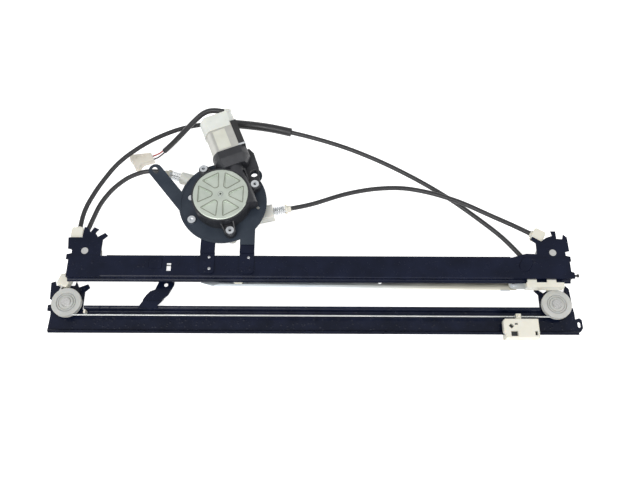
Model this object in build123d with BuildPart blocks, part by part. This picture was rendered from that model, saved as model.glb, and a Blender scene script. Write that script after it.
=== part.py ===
"""Dual-rail cable window regulator with its motor, laid flat on a floor.

Millimetres. X runs along the rails, Y from the lower rail to the motor, Z up.
Pieces are drawn about the rails, and save() moves each one so that the origin is
the middle of the whole box in plan, on the floor under the lower rail.
The lower rail lies on its back, front side up. The upper rail lies the other
way over, back side up, so its pulleys and slider hang under it.
A height h of a rail is measured from its back face towards its front.
"""

from build123d import *
import os
from collections import namedtuple
from math import cos, degrees, hypot, pi, radians, sin, tan

# ---------------------------------------------------------------- driving sizes
# the origin
BOX_MIDDLE_Y = 3.7        # middle of the whole box, in the drawing's own Y

# clearances
SHAFT_FIT = 0.05          # radial, a shaft in its bore
RUNNING_GAP = 0.3         # between faces that pass each other
END_PLAY = 0.2            # axial, a turning piece between its stops
SEAT_FIT = 0.15           # radial, a conduit in its socket
THROUGH_FIT = 0.5         # radial, a screw in its clearance hole

# pressed rails
SHEET = 1.2
RAIL_WIDTH = 29.0         # flange tip to flange tip
RAIL_DEPTH = 7.0          # back face to flange face
RAIL_FLANGE = 3.0
RAIL_BEND = 2.0           # outer bend radius
RAIL_DROP = 2.5           # pulley line down to the rail's top edge
END_JOGGLE = 0.8          # end plates stand this far in front of the web
UPPER_BACK_Z = 28.0       # back face of the upper rail above the floor
LOWER_LINE_Y = -85.0      # pulley centres of the lower rail
UPPER_LINE_Y = -35.0
LOWER_LEFT_X = -255.5
LOWER_RIGHT_X = 250.5
UPPER_LEFT_X = -237.5
UPPER_RIGHT_X = 247.0

# cable, pulleys and their rivets
CABLE_RADIUS = 0.8
PULLEY_RADIUS = 15.2
GROOVE_RADIUS = 11.8
PULLEY_THICKNESS = 5.0
PULLEY_MID_H = 8.0        # middle plane of the cable in front of the back face
RIVET_SHANK = 2.5         # radius through the end plate
RIVET_AXLE = 4.0          # radius in the pulley
RIVET_HEAD = 5.2
RIVET_BACK_HEAD = 3.6
RIVET_HEAD_THICKNESS = 1.3

# conduits and their plastic seats on the end plates
CONDUIT_RADIUS = 2.5
SEAT_START = 14.2         # from the cable's tangent point on the pulley
SEAT_LENGTH = 12.5
SEAT_WIDTH = 12.0
SEAT_TOP_H = 11.8
SOCKET_DEPTH = 6.0
SOCKET_MOUTH = 1.0        # wall of the collar round a socket
CABLE_HOLE = 1.4

# sliders
LOWER_SLIDER_LENGTH = 36.0
UPPER_SLIDER_LENGTH = 40.4
SLIDER_FRONT_H = 13.5
SLIDER_HOOK_H = 2.2       # back of the hooks
SLIDER_OVERHANG = 5.2     # past the rail's lower edge
SLIDER_TOP_DROP = 16.4    # pulley line down to the slider's upper edge
HOOK_WIDTH = 9.4
HOOK_PITCH = 20.0
HOOK_OFFSET = -2.4        # middle of the hooks from the slider's middle
LUG_LENGTH = 5.0
LUG_START = 14.3          # from the slider's left end to the cable lug
LUG_TOP_DROP = 10.6
LOWER_SLIDER_BACK = 40.0  # middle of the slider back from the rail's right pulley
UPPER_SLIDER_BACK = 11.8
SLIDER_TRAVEL = 430.0

# lift bar on the upper slider
PIVOT_BACK = 29.2         # from the upper slider's middle
PIVOT_DROP = 31.0         # below the upper pulley line
BAR_LENGTH = 323.0
BAR_WIDTH = 14.0
BAR_SHEET = 1.8
BAR_Z = 15.0
BAR_FLANGE_HEIGHT = 5.0
BAR_TILT = 0.45           # degrees in plan, outwards at the pivot end
TONGUE_THICKNESS = 1.5
PIVOT_RADIUS = 2.0

# motor plate and its straps
PLATE_SHEET = 1.5
PLATE_RADIUS = 46.5
STRAP_WIDTH = 15.2
STRAP_LEFT_X = -110.0
STRAP_RIGHT_X = -69.2
STRAP_FOOT_Y = -60.0
STRAP_TOP_Y = -22.0
ARM_TIP = (-172.3, 57.6)
ARM_ROOT = (-138.0, 15.5)
ARM_WIDTH = 14.6
ARM_SLOT_LENGTH = 9.0
ARM_SLOT_RADIUS = 2.7
PLATE_HOLE = (-65.0, 51.0)
PLATE_HOLE_RADIUS = 3.5

# drum, worm wheel and their axle
AXIS = (-97.0, 19.0)
DRUM_GROOVE_RADIUS = 22.0
DRUM_HEIGHT = 17.0
DRUM_FLOOR = 4.0
DRUM_TURNS = 4
DRUM_PITCH = 2.6
HOUSING_RADIUS = 31.0
HOUSING_WALL = 2.0
LEAD_Z = 14.0             # height at which the cable leaves the drum
AXLE_RADIUS = 4.0
WHEEL_TIP_RADIUS = 20.0
WHEEL_TEETH = 40
WHEEL_TOOTH = 1.6
WHEEL_HEIGHT = 9.0
WHEEL_FLOOR_Z = 40.0
CUSHION_RADIUS = 15.0
HUB_RADIUS = 8.0

# gear housing and motor
MOTOR_TILT = 21.8         # degrees from +Y towards -X
CENTRE_DISTANCE = 24.5    # wheel axis to worm axis
GEAR_CASE_RADIUS = 30.5
GEAR_CASE_TOP_Z = 51.5
CASE_WALL = 2.5
COVER_RADIUS = 28.8
COVER_THICKNESS = 2.4
WORM_RADIUS = 4.2
CAN_RADIUS = 18.0
CAN_FLAT = 13.5           # half of the can's height over its flats
CAN_WALL = 1.5
CAN_START = 44.0          # along the motor axis from the wheel's centre
CAN_LENGTH = 45.3
ARMATURE_RADIUS = 12.0
MOTOR_SHAFT_RADIUS = 2.5
SCREW_RADIUS = 2.2
SCREW_HEAD = 4.2
HARNESS_RADIUS = 3.0

# ---------------------------------------------------------------- derived places
Rail = namedtuple("Rail", "back front line left right")
LOWER = Rail(0.0, 1, LOWER_LINE_Y, LOWER_LEFT_X, LOWER_RIGHT_X)
UPPER = Rail(UPPER_BACK_Z, -1, UPPER_LINE_Y, UPPER_LEFT_X, UPPER_RIGHT_X)

LOWER_SLIDER_X = LOWER.right - LOWER_SLIDER_BACK
UPPER_SLIDER_X = UPPER.right - UPPER_SLIDER_BACK
BAR_PIVOT = (UPPER_SLIDER_X - PIVOT_BACK, UPPER.line - PIVOT_DROP)
CABLE_PITCH_RADIUS = GROOVE_RADIUS + RUNNING_GAP + CABLE_RADIUS
RAIL_TOP = -RAIL_DROP
RAIL_BOTTOM = RAIL_TOP - RAIL_WIDTH
WEB_TOP = RAIL_TOP - RAIL_FLANGE
WEB_BOTTOM = RAIL_BOTTOM + RAIL_FLANGE
END_FACE_H = END_JOGGLE + SHEET
PULLEY_BACK_H = PULLEY_MID_H - PULLEY_THICKNESS / 2
PULLEY_FRONT_H = PULLEY_MID_H + PULLEY_THICKNESS / 2
STRAP_TOP_Z = UPPER_BACK_Z + 2 * PLATE_SHEET
PLATE_Z = STRAP_TOP_Z
PLATE_TOP_Z = PLATE_Z + PLATE_SHEET
MOTOR_Z = WHEEL_FLOOR_Z + WHEEL_HEIGHT / 2
WORM_PITCH = 2 * pi * (WHEEL_TIP_RADIUS - WHEEL_TOOTH / 2) / WHEEL_TEETH
MOTOR_AXIS = Vector(-sin(radians(MOTOR_TILT)), cos(radians(MOTOR_TILT)), 0)
MOTOR_SIDE = Vector(cos(radians(MOTOR_TILT)), sin(radians(MOTOR_TILT)), 0)

os.makedirs("parts", exist_ok=True)


def height(rail, h):
    """Z of the height h in front of a rail's back face."""
    return rail.back + rail.front * h


def slab(rail, low, high):
    """Plane and thickness of a slab between two heights of a rail."""
    bottom = min(height(rail, low), height(rail, high))
    return Plane.XY.offset(bottom), abs(high - low)


def shifted(points, x, y):
    """Points moved by x and y."""
    return [(x + point[0], y + point[1]) for point in points]


def save(builder, label):
    """Moves a finished piece to the part's origin, names it and writes it."""
    piece = builder.part.moved(Location((0, -BOX_MIDDLE_Y, 0)))
    piece.label = label
    export_step(piece, f"parts/{label}.step")


def motor_point(across, along, z):
    """A point by its distance across and along the motor axis from the wheel's centre."""
    return Vector(AXIS[0], AXIS[1], z) + MOTOR_SIDE * across + MOTOR_AXIS * along


def motor_plane(along, across=CENTRE_DISTANCE, z=MOTOR_Z):
    """Plane square to the motor axis: its x is the motor's side, its y is up."""
    return Plane(origin=motor_point(across, along, z), x_dir=-MOTOR_SIDE, z_dir=MOTOR_AXIS)


# ---------------------------------------------------------------- the two rails
LOWER_LEFT_PLATE = [
    (18, WEB_BOTTOM), (-18.5, WEB_BOTTOM), (-17.5, -7.5), (-21.3, -6.8), (-21.6, -0.6),
    (-17.6, 0.2), (-17.6, 4), (-20.5, 6), (-21.7, 24), (-17.2, 25.4), (-15.8, 20.6),
    (3.8, 20.6), (5, 25.4), (8.3, 18.8), (17.5, 22.4), (20.1, 18.5), (15.3, 14),
    (15.3, WEB_TOP), (18, WEB_TOP),
]
UPPER_LEFT_PLATE = [
    (19, WEB_BOTTOM), (-15.8, WEB_BOTTOM), (-15.8, -9.4), (-18.6, -9), (-18.6, -3.5),
    (-13.6, -2.4), (-13.6, 1.6), (-18, 2.7), (-19.4, 15.4), (-4.6, 15.4), (-4, 27.2),
    (0.1, 26.6), (3, 21.4), (6.5, 27), (11.5, 24.6), (8.4, 20.6), (11.4, 16),
    (18.6, 20.6), (21.8, 17.4), (17, 13), (16.6, -13.5), (19, -13.5),
]
UPPER_RIGHT_PLATE = [
    (-43, WEB_BOTTOM), (-43, WEB_TOP), (-34.3, -2.7), (-27, -0.9), (-16.2, -1.3),
    (-16.2, 11), (-21.4, 15.7), (-18.6, 18.1), (-10.2, 12.8), (-4.8, 17.1), (1.9, 19.4),
    (0.7, 24.6), (5.8, 24.6), (6, 16), (12, 15.6), (13.5, 21), (17.1, 17.6),
    (17.6, 2.2), (13.4, 1.3), (13.2, -2.9), (17.9, -4), (18.1, -9.2), (14.8, -10),
    (15.6, -14.6), (16.4, -20.8), (19.6, -21.8), (19.6, -28.2), (16.4, WEB_BOTTOM),
]
LOWER_RIGHT_PLATE = [
    (-18, WEB_BOTTOM), (-18, WEB_TOP), (-15.6, WEB_TOP), (-15.6, 12.8), (-19.9, 17.2),
    (-17.4, 19.6), (-10.2, 14.6), (-4.8, 18), (1.9, 18.6), (1.2, 22.4), (6, 22.4),
    (6.2, 16.6), (11.6, 16.2), (13.4, 23.3), (17.4, 19.6), (18.6, 2.7), (16.2, 0.6),
    (16.2, -1.6), (19.1, -1.6), (19.3, -7.8), (15.8, -8.6), (16, -13.4), (19.5, -13.8),
    (24.1, -12.1), (26.6, -14), (26.9, -22.8), (24.2, -26.8), (20, WEB_BOTTOM),
]
PLATE_CORNER = 0.7        # small radius on every corner of a pressed outline
JOGGLE_LINE = -8.5        # the end plates step forward above this line


def channel_path(rail, top_wall):
    """Back surface of the channel from its lower flange tip upwards, as YZ points."""
    face = RAIL_DEPTH - SHEET
    points = [(RAIL_BOTTOM, face), (WEB_BOTTOM, face), (WEB_BOTTOM, 0)]
    if top_wall:
        points += [(WEB_TOP, 0), (WEB_TOP, face), (RAIL_TOP, face)]
    else:
        points += [(WEB_TOP, 0)]
    return [(rail.line + y, height(rail, h)) for y, h in points]


def add_channel(rail, start, end, top_wall):
    """Adds a stretch of the folded channel to the part being built."""
    side = Side.LEFT if rail.front > 0 else Side.RIGHT
    with BuildSketch(Plane.YZ.offset(start)) as section:
        with BuildLine():
            FilletPolyline(*channel_path(rail, top_wall), radius=RAIL_BEND)
            offset(amount=SHEET, side=side)
        make_face()
    extrude(section.sketch, amount=end - start)


def add_end_plate(rail, x, outline):
    """Adds a flat end plate whose pulley field stands a joggle in front of the web."""
    reach = 60.0
    web_plane, web_thickness = slab(rail, 0, SHEET)
    field_plane, field_thickness = slab(rail, END_JOGGLE, END_FACE_H)
    step_plane, step_thickness = slab(rail, 0, END_FACE_H)
    bands = [
        (web_plane, web_thickness, WEB_BOTTOM - 1, JOGGLE_LINE),
        (step_plane, step_thickness, JOGGLE_LINE - SHEET, JOGGLE_LINE),
        (field_plane, field_thickness, JOGGLE_LINE - SHEET, reach),
    ]
    for plane, thickness, low, high in bands:
        with BuildSketch(plane) as plate:
            with BuildLine():
                Polyline(*shifted(outline, x, rail.line), close=True)
            make_face()
            with Locations((x, rail.line + (low + high) / 2)):
                Rectangle(2 * reach, high - low, mode=Mode.INTERSECT)
        extrude(plate.sketch, amount=thickness)


def cut_rivet_hole(rail, x):
    """Cuts the hole that the pulley's rivet passes through."""
    plane, thickness = slab(rail, 0, END_FACE_H)
    with BuildSketch(plane) as hole:
        with Locations((x, rail.line)):
            Circle(RIVET_SHANK + SHAFT_FIT)
    extrude(hole.sketch, amount=thickness, mode=Mode.SUBTRACT)


with BuildPart() as lower_rail:
    add_channel(LOWER, LOWER.left + 17.7, LOWER.right - 16.5, True)
    add_channel(LOWER, LOWER.left - 15.5, LOWER.right + 20, False)
    add_end_plate(LOWER, LOWER.left, LOWER_LEFT_PLATE)
    add_end_plate(LOWER, LOWER.right, LOWER_RIGHT_PLATE)
    cut_rivet_hole(LOWER, LOWER.left)
    cut_rivet_hole(LOWER, LOWER.right)
    with BuildSketch(Plane.XY):
        with Locations((LOWER.right + 23.2, LOWER.line - 19.4)):
            SlotOverall(6.0, 3.0, rotation=90)
    extrude(amount=SHEET * 2, mode=Mode.SUBTRACT)
save(lower_rail, "lower_rail")

EMBOSS_HEIGHT = 0.9
EMBOSS_WINDOW = (-149.0, -52.5)
with BuildPart() as upper_rail:
    add_channel(UPPER, UPPER.left + 21.6, UPPER.right - 43, True)
    add_channel(UPPER, UPPER.left - 15.8, UPPER.right + 16.4, False)
    add_end_plate(UPPER, UPPER.left, UPPER_LEFT_PLATE)
    add_end_plate(UPPER, UPPER.right, UPPER_RIGHT_PLATE)
    cut_rivet_hole(UPPER, UPPER.left)
    cut_rivet_hole(UPPER, UPPER.right)
    # raised dome over the conduit, and the pad of the brace point
    with BuildSketch(Plane.XY.offset(UPPER.back)):
        with Locations((UPPER.right - 29, UPPER.line - 13)):
            SlotOverall(17.0, 12.0, rotation=60)
        with Locations((EMBOSS_WINDOW[0] - 14, EMBOSS_WINDOW[1] + 4)):
            RectangleRounded(14.0, 12.0, 2.0)
    extrude(amount=EMBOSS_HEIGHT, taper=30)
    with BuildSketch(Plane.XY.offset(UPPER.back - SHEET)):
        with Locations(EMBOSS_WINDOW):
            Rectangle(4.5, 8.5)
    extrude(amount=SHEET, mode=Mode.SUBTRACT)
save(upper_rail, "upper_rail")

# brace welded to the lower rail's upper flange, which reaches under the upper rail
BRACE_HOLE = (-154.0, -66.0)
BRACE_HOLE_RADIUS = 2.1
BRACE_LIFT = 2.0
BRACE_FOOT_Y = LOWER.line + RAIL_TOP - RAIL_FLANGE
BRACE_OUTLINE = [
    (-180, BRACE_FOOT_Y), (-161, BRACE_FOOT_Y), (-161, -87), (-156, -81.5), (-151, -77),
    (-145.5, -66), (-145.5, -61), (-150, -57), (-160, -58.5), (-165, -71), (-170, -73),
    (-173.5, -77), (-180, -87.5),
]
BRACE_STEP_Y = -81.0
with BuildPart() as lower_brace:
    bands = [
        (RAIL_DEPTH, PLATE_SHEET, BRACE_FOOT_Y, BRACE_STEP_Y),
        (RAIL_DEPTH, BRACE_LIFT + PLATE_SHEET, BRACE_STEP_Y - PLATE_SHEET, BRACE_STEP_Y),
        (RAIL_DEPTH + BRACE_LIFT, PLATE_SHEET, BRACE_STEP_Y - PLATE_SHEET, 0.0),
    ]
    for base, thickness, low, high in bands:
        with BuildSketch(Plane.XY.offset(base)):
            with BuildLine():
                Polyline(*BRACE_OUTLINE, close=True)
            make_face()
            with Locations((BRACE_HOLE[0], (low + high) / 2)):
                Rectangle(80.0, high - low, mode=Mode.INTERSECT)
        extrude(amount=thickness)
    with BuildSketch(Plane.XY.offset(RAIL_DEPTH + BRACE_LIFT)):
        with Locations(BRACE_HOLE):
            Circle(BRACE_HOLE_RADIUS)
    extrude(amount=PLATE_SHEET, mode=Mode.SUBTRACT)
    upright = lower_brace.edges().filter_by(Axis.Z)
    fillet(upright.group_by(Axis.Y)[-1], radius=2.0)
save(lower_brace, "lower_brace")


# ---------------------------------------------------------------- pulleys and rivets
def rivet_profile():
    """Half profile of a shouldered rivet: radius against height."""
    h_back = 0.0    # the back head fills the end plate's joggle, flush with the web
    h_seat = PULLEY_BACK_H - END_PLAY
    h_head = PULLEY_FRONT_H + END_PLAY
    return [
        (0, h_back), (RIVET_BACK_HEAD, h_back), (RIVET_BACK_HEAD, END_JOGGLE),
        (RIVET_SHANK, END_JOGGLE), (RIVET_SHANK, END_FACE_H), (RIVET_HEAD, END_FACE_H),
        (RIVET_HEAD, h_seat), (RIVET_AXLE, h_seat), (RIVET_AXLE, h_head),
        (RIVET_HEAD, h_head), (RIVET_HEAD - 0.8, h_head + RIVET_HEAD_THICKNESS),
        (0, h_head + RIVET_HEAD_THICKNESS),
    ]


def pulley_profile():
    """Half profile of a grooved pulley with ring recesses in both faces."""
    half = PULLEY_THICKNESS / 2
    low, high = PULLEY_MID_H - half, PULLEY_MID_H + half
    lip = 0.9
    inner, outer = RIVET_AXLE + 3.0, GROOVE_RADIUS - 1.4
    ring = (inner + outer) / 2
    return [
        (RIVET_AXLE + SHAFT_FIT, low), (inner, low), (inner + 0.6, low + 1.6),
        (outer - 0.6, low + 1.6), (outer, low), (PULLEY_RADIUS, low),
        (PULLEY_RADIUS, low + lip), (GROOVE_RADIUS, PULLEY_MID_H - 1.0),
        (GROOVE_RADIUS, PULLEY_MID_H + 1.0), (PULLEY_RADIUS, high - lip),
        (PULLEY_RADIUS, high), (outer, high), (outer - 0.6, high - 1.4),
        (ring + 0.8, high - 1.4), (ring + 0.4, high - 0.5), (ring - 0.4, high - 0.5),
        (ring - 0.8, high - 1.4), (inner + 0.6, high - 1.4), (inner, high),
        (RIVET_AXLE + SHAFT_FIT, high),
    ]


def turn(rail, x, profile):
    """Revolves a radius-height profile about the upright axis at a pulley's centre."""
    with BuildSketch(Plane.XZ.offset(-rail.line)) as half:
        with BuildLine():
            Polyline(*[(x + r, height(rail, h)) for r, h in profile], close=True)
        make_face()
    revolve(half.sketch, axis=Axis((x, rail.line, 0), (0, 0, 1)))


PULLEYS = {
    "lower_left": (LOWER, LOWER.left),
    "lower_right": (LOWER, LOWER.right),
    "upper_left": (UPPER, UPPER.left),
    "upper_right": (UPPER, UPPER.right),
}
for corner, (rail, x) in PULLEYS.items():
    with BuildPart() as pulley:
        turn(rail, x, pulley_profile())
    save(pulley, f"{corner}_pulley")

with BuildPart() as pulley_rivets:
    for rail, x in PULLEYS.values():
        turn(rail, x, rivet_profile())
save(pulley_rivets, "pulley_rivets")


# ---------------------------------------------------------------- conduit seats
Seat = namedtuple("Seat", "rail x direction side")
SEATS = {
    "lower_left": Seat(LOWER, LOWER.left, (0.33, 0.944), -1),
    "lower_right": Seat(LOWER, LOWER.right, (-0.68, 0.733), 1),
    "upper_left": Seat(UPPER, UPPER.left, (0.06, 0.998), -1),
    "upper_right": Seat(UPPER, UPPER.right, (-0.875, 0.485), 1),
}


def seat_frame(seat):
    """Unit direction from pulley to conduit, and the cable's tangent point."""
    along = Vector(seat.direction[0], seat.direction[1], 0).normalized()
    across = Vector(along.Y, -along.X, 0) * seat.side
    centre = Vector(seat.x, seat.rail.line, height(seat.rail, PULLEY_MID_H))
    return along, centre + across * CABLE_PITCH_RADIUS


def seat_point(corner, distance):
    """A point on the cable's line, at a distance from its tangent point."""
    along, tangent = seat_frame(SEATS[corner])
    return tangent + along * distance


SOCKET_FLOOR = SEAT_START + SEAT_LENGTH - SOCKET_DEPTH
for corner, seat in SEATS.items():
    along, tangent = seat_frame(seat)
    turn_angle = degrees(Vector(1, 0, 0).get_signed_angle(along, Vector(0, 0, 1)) * radians(1))
    middle = seat_point(corner, SEAT_START + SEAT_LENGTH / 2)
    plane, thickness = slab(seat.rail, END_FACE_H, SEAT_TOP_H)
    bore = Plane(origin=seat_point(corner, SEAT_START), z_dir=along)
    with BuildPart() as block:
        with BuildSketch(plane):
            with Locations(Location((middle.X, middle.Y, 0), (0, 0, turn_angle))):
                RectangleRounded(SEAT_LENGTH, SEAT_WIDTH, 2.2)
        extrude(amount=thickness)
        free_face = Axis.Z if seat.rail.front > 0 else -Axis.Z
        chamfer(block.faces().sort_by(free_face)[-1].edges(), length=0.8)
        with BuildSketch(bore.offset(SEAT_LENGTH)):
            Circle(CONDUIT_RADIUS + SEAT_FIT + SOCKET_MOUTH)
        extrude(amount=2.0)
        with BuildSketch(bore.offset(SEAT_LENGTH + 2.0)):
            Circle(CONDUIT_RADIUS + SEAT_FIT)
        extrude(amount=-SOCKET_DEPTH - 2.0, mode=Mode.SUBTRACT)
        with BuildSketch(bore.offset(-1.0)):
            Circle(CABLE_HOLE)
        extrude(amount=SEAT_LENGTH + 1.0, mode=Mode.SUBTRACT)
    save(block, f"{corner}_conduit_seat")


# ---------------------------------------------------------------- cables on the rails
def make_cable(name, left, right):
    """Cable from one seat round the left pulley, along the rail and round the right one."""
    rail = SEATS[left].rail
    z = height(rail, PULLEY_MID_H)
    run_y = rail.line - CABLE_PITCH_RADIUS
    start = seat_point(left, SOCKET_FLOOR)
    finish = seat_point(right, SOCKET_FLOOR)
    left_tangent, right_tangent = seat_frame(SEATS[left])[1], seat_frame(SEATS[right])[1]
    left_heading, right_heading = -seat_frame(SEATS[left])[0], seat_frame(SEATS[right])[0]
    with BuildPart() as cable:
        with BuildLine() as path:
            Line(start, left_tangent)
            TangentArc(left_tangent, (rail.left, run_y, z), tangent=left_heading)
            Line((rail.left, run_y, z), (rail.right, run_y, z))
            TangentArc((rail.right, run_y, z), right_tangent, tangent=(1, 0, 0))
            Line(right_tangent, finish)
        with BuildSketch(Plane(origin=start, z_dir=left_heading)):
            Circle(CABLE_RADIUS)
        sweep(path=path.wires()[0])
    save(cable, name)


make_cable("lower_cable", "lower_left", "lower_right")
make_cable("upper_cable", "upper_left", "upper_right")

# small keeper pegged into the lower rail beside the left pulley
with BuildPart() as cable_peg:
    with BuildSketch(Plane.XY.offset(SHEET)):
        with Locations((LOWER.left + 19.6, LOWER.line - 9.2)):
            RectangleRounded(1.8, 4.2, 0.6)
    extrude(amount=7.6)
save(cable_peg, "cable_peg")


# ---------------------------------------------------------------- sliders
def add_block(rail, x_range, y_range, h_range, mode=Mode.ADD):
    """Adds a box given by ranges along X, from the pulley line, and of height."""
    plane, thickness = slab(rail, *h_range)
    middle = ((x_range[0] + x_range[1]) / 2, rail.line + (y_range[0] + y_range[1]) / 2)
    with BuildSketch(plane) as block:
        with Locations(middle):
            Rectangle(x_range[1] - x_range[0], y_range[1] - y_range[0])
    extrude(block.sketch, amount=thickness, mode=mode)


SLIDER_FOOT = RAIL_BOTTOM - SLIDER_OVERHANG
POCKET_DEPTH = 3.0


def make_slider(rail, x, length):
    """Plastic slider that grips the rail's lower flange and carries the cable's lug."""
    half = length / 2
    face_h = RAIL_DEPTH + RUNNING_GAP
    plane, thickness = slab(rail, face_h, SLIDER_FRONT_H)
    with BuildPart() as slider:
        with BuildSketch(plane):
            with BuildLine():
                outline = [
                    (-half, -29.5), (-half, -SLIDER_TOP_DROP - 2), (-half + 2, -SLIDER_TOP_DROP),
                    (half, -SLIDER_TOP_DROP), (half, SLIDER_FOOT), (-half + 2, SLIDER_FOOT),
                    (-half + 2, -32),
                ]
                Polyline(*shifted(outline, x, rail.line), close=True)
            make_face()
        extrude(amount=thickness)
        # side wall past the flange, and the hooks behind it
        lip = RAIL_BOTTOM - RUNNING_GAP
        add_block(rail, (x - half + 2, x + half), (SLIDER_FOOT, lip), (SLIDER_HOOK_H, face_h))
        bend_end = WEB_BOTTOM - RAIL_BEND
        flange_back = RAIL_DEPTH - SHEET
        for middle in (x + HOOK_OFFSET - HOOK_PITCH / 2, x + HOOK_OFFSET + HOOK_PITCH / 2):
            span = (middle - HOOK_WIDTH / 2, middle + HOOK_WIDTH / 2)
            add_block(rail, span, (SLIDER_FOOT, bend_end), (SLIDER_HOOK_H, flange_back - RUNNING_GAP))
            add_block(rail, span, (SLIDER_FOOT, WEB_BOTTOM - RUNNING_GAP), (SLIDER_HOOK_H, flange_back - RAIL_BEND))
        # rib that runs inside the channel
        rib = WEB_BOTTOM + SHEET + RUNNING_GAP
        add_block(rail, (x - half + 3, x + half - 3), (rib, rib + 2.4), (SHEET + RUNNING_GAP, face_h))
        # lug with the cable's channel
        lug = (x - half + LUG_START, x - half + LUG_START + LUG_LENGTH)
        add_block(rail, lug, (-SLIDER_TOP_DROP - 1, -LUG_TOP_DROP), (PULLEY_MID_H - 3, SLIDER_FRONT_H - 2.5))
        run = (x, rail.line - CABLE_PITCH_RADIUS, height(rail, PULLEY_MID_H))
        with BuildSketch(Plane(origin=run, z_dir=(1, 0, 0))):
            Circle(CABLE_RADIUS + RUNNING_GAP)
        extrude(amount=half + 1, both=True, mode=Mode.SUBTRACT)
        # pockets in the front face
        pocket = (SLIDER_FRONT_H - POCKET_DEPTH, SLIDER_FRONT_H)
        add_block(rail, (x - 11.1, x - 4), (-34.8, -29.4), pocket, Mode.SUBTRACT)
        add_block(rail, (x + 13.2, x + 16), (-34, -29.4), pocket, Mode.SUBTRACT)
        add_block(rail, (x - 6.6, x - 3.4), (-23, -21), pocket, Mode.SUBTRACT)
        with BuildSketch(slab(rail, *pocket)[0]):
            with Locations((x - 10.2, rail.line - 24.2)):
                Rectangle(4.0, 4.0, rotation=45)
        extrude(amount=POCKET_DEPTH, mode=Mode.SUBTRACT)
        front = Axis.Z if rail.front > 0 else -Axis.Z
        rim = slider.faces().sort_by(front)[-1].outer_wire().edges()
        chamfer(rim, length=0.7)
    return slider


lower_slider = make_slider(LOWER, LOWER_SLIDER_X, LOWER_SLIDER_LENGTH)
save(lower_slider, "lower_slider")

TONGUE_Z = BAR_Z + BAR_SHEET + 0.6
TONGUE_END = UPPER_SLIDER_X - UPPER_SLIDER_LENGTH / 2 + 7.0
TONGUE_WIDTH = 11.0
upper_slider = make_slider(UPPER, UPPER_SLIDER_X, UPPER_SLIDER_LENGTH)
with BuildPart() as slotted_slider:
    add(upper_slider.part)
    with BuildSketch(Plane.XY.offset(TONGUE_Z)):
        with Locations((TONGUE_END, BAR_PIVOT[1])):
            Rectangle(2 * 9.0, TONGUE_WIDTH, align=(Align.MAX, Align.CENTER))
    extrude(amount=TONGUE_THICKNESS, mode=Mode.SUBTRACT)
save(slotted_slider, "upper_slider")

with BuildPart() as bar_tongue:
    with BuildSketch(Plane.XY.offset(TONGUE_Z)):
        with Locations(BAR_PIVOT):
            Circle(TONGUE_WIDTH / 2)
            length = TONGUE_END - BAR_PIVOT[0]
            Rectangle(length, TONGUE_WIDTH, align=(Align.MIN, Align.CENTER))
            Circle(PIVOT_RADIUS + SHAFT_FIT, mode=Mode.SUBTRACT)
    extrude(amount=TONGUE_THICKNESS)
save(bar_tongue, "bar_tongue")

# the bar lies along the rail; its own x runs from the pivot to its free end
BAR_TOP = BAR_Z + BAR_SHEET
PIVOT_HEAD = 3.4
with BuildPart() as bar_pivot:
    with BuildSketch(Plane.XZ.offset(-BAR_PIVOT[1])):
        low, high = BAR_Z - END_PLAY, TONGUE_Z + TONGUE_THICKNESS
        with BuildLine():
            profile = [
                (0, low - 1.0), (PIVOT_HEAD, low - 1.0), (PIVOT_HEAD, low), (PIVOT_RADIUS, low),
                (PIVOT_RADIUS, high), (PIVOT_HEAD, high), (PIVOT_HEAD - 0.5, high + 1.1), (0, high + 1.1),
            ]
            Polyline(*[(BAR_PIVOT[0] + r, z) for r, z in profile], close=True)
        make_face()
    revolve(axis=Axis((BAR_PIVOT[0], BAR_PIVOT[1], 0), (0, 0, 1)))
save(bar_pivot, "bar_pivot")

BAR_DIRECTION = (-cos(radians(BAR_TILT)), sin(radians(BAR_TILT)), 0)


def bar_plane(z):
    """Plane whose x runs along the bar from its pivot, and whose y points to the rail."""
    return Plane(origin=(BAR_PIVOT[0], BAR_PIVOT[1], z), x_dir=BAR_DIRECTION, z_dir=(0, 0, -1))


BAR_HOLE_X = 138.0
BAR_HOLE_RADIUS = 2.2
BAR_OUTER = -6.0          # outer edge, on the side away from the rail
BAR_TAPER = 14.0
BAR_BRIM = 14.0           # the flange starts this far from the pivot
with BuildPart() as lift_bar:
    with BuildSketch(bar_plane(BAR_Z + BAR_SHEET)):
        with BuildLine():
            inner_edge = BAR_OUTER + BAR_WIDTH
            Polyline(
                (0, BAR_OUTER), (BAR_LENGTH - BAR_TAPER, BAR_OUTER), (BAR_LENGTH, BAR_OUTER + 4),
                (BAR_LENGTH, inner_edge - 2), (BAR_LENGTH - 2, inner_edge), (0, inner_edge), close=True,
            )
        make_face()
        with Locations((0, BAR_OUTER + BAR_WIDTH / 2)):
            Circle(BAR_WIDTH / 2)
        Circle(PIVOT_RADIUS + SHAFT_FIT, mode=Mode.SUBTRACT)
        with Locations((BAR_HOLE_X, 1.0)):
            Circle(BAR_HOLE_RADIUS, mode=Mode.SUBTRACT)
    extrude(amount=BAR_SHEET)
    with BuildSketch(bar_plane(BAR_Z + BAR_FLANGE_HEIGHT)):
        with BuildLine():
            Polyline(
                (BAR_BRIM, BAR_OUTER), (BAR_LENGTH - BAR_TAPER, BAR_OUTER),
                (BAR_LENGTH - BAR_TAPER - 6, BAR_OUTER + BAR_SHEET), (BAR_BRIM, BAR_OUTER + BAR_SHEET),
                close=True,
            )
        make_face()
    extrude(amount=BAR_FLANGE_HEIGHT)
save(lift_bar, "lift_bar")

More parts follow.
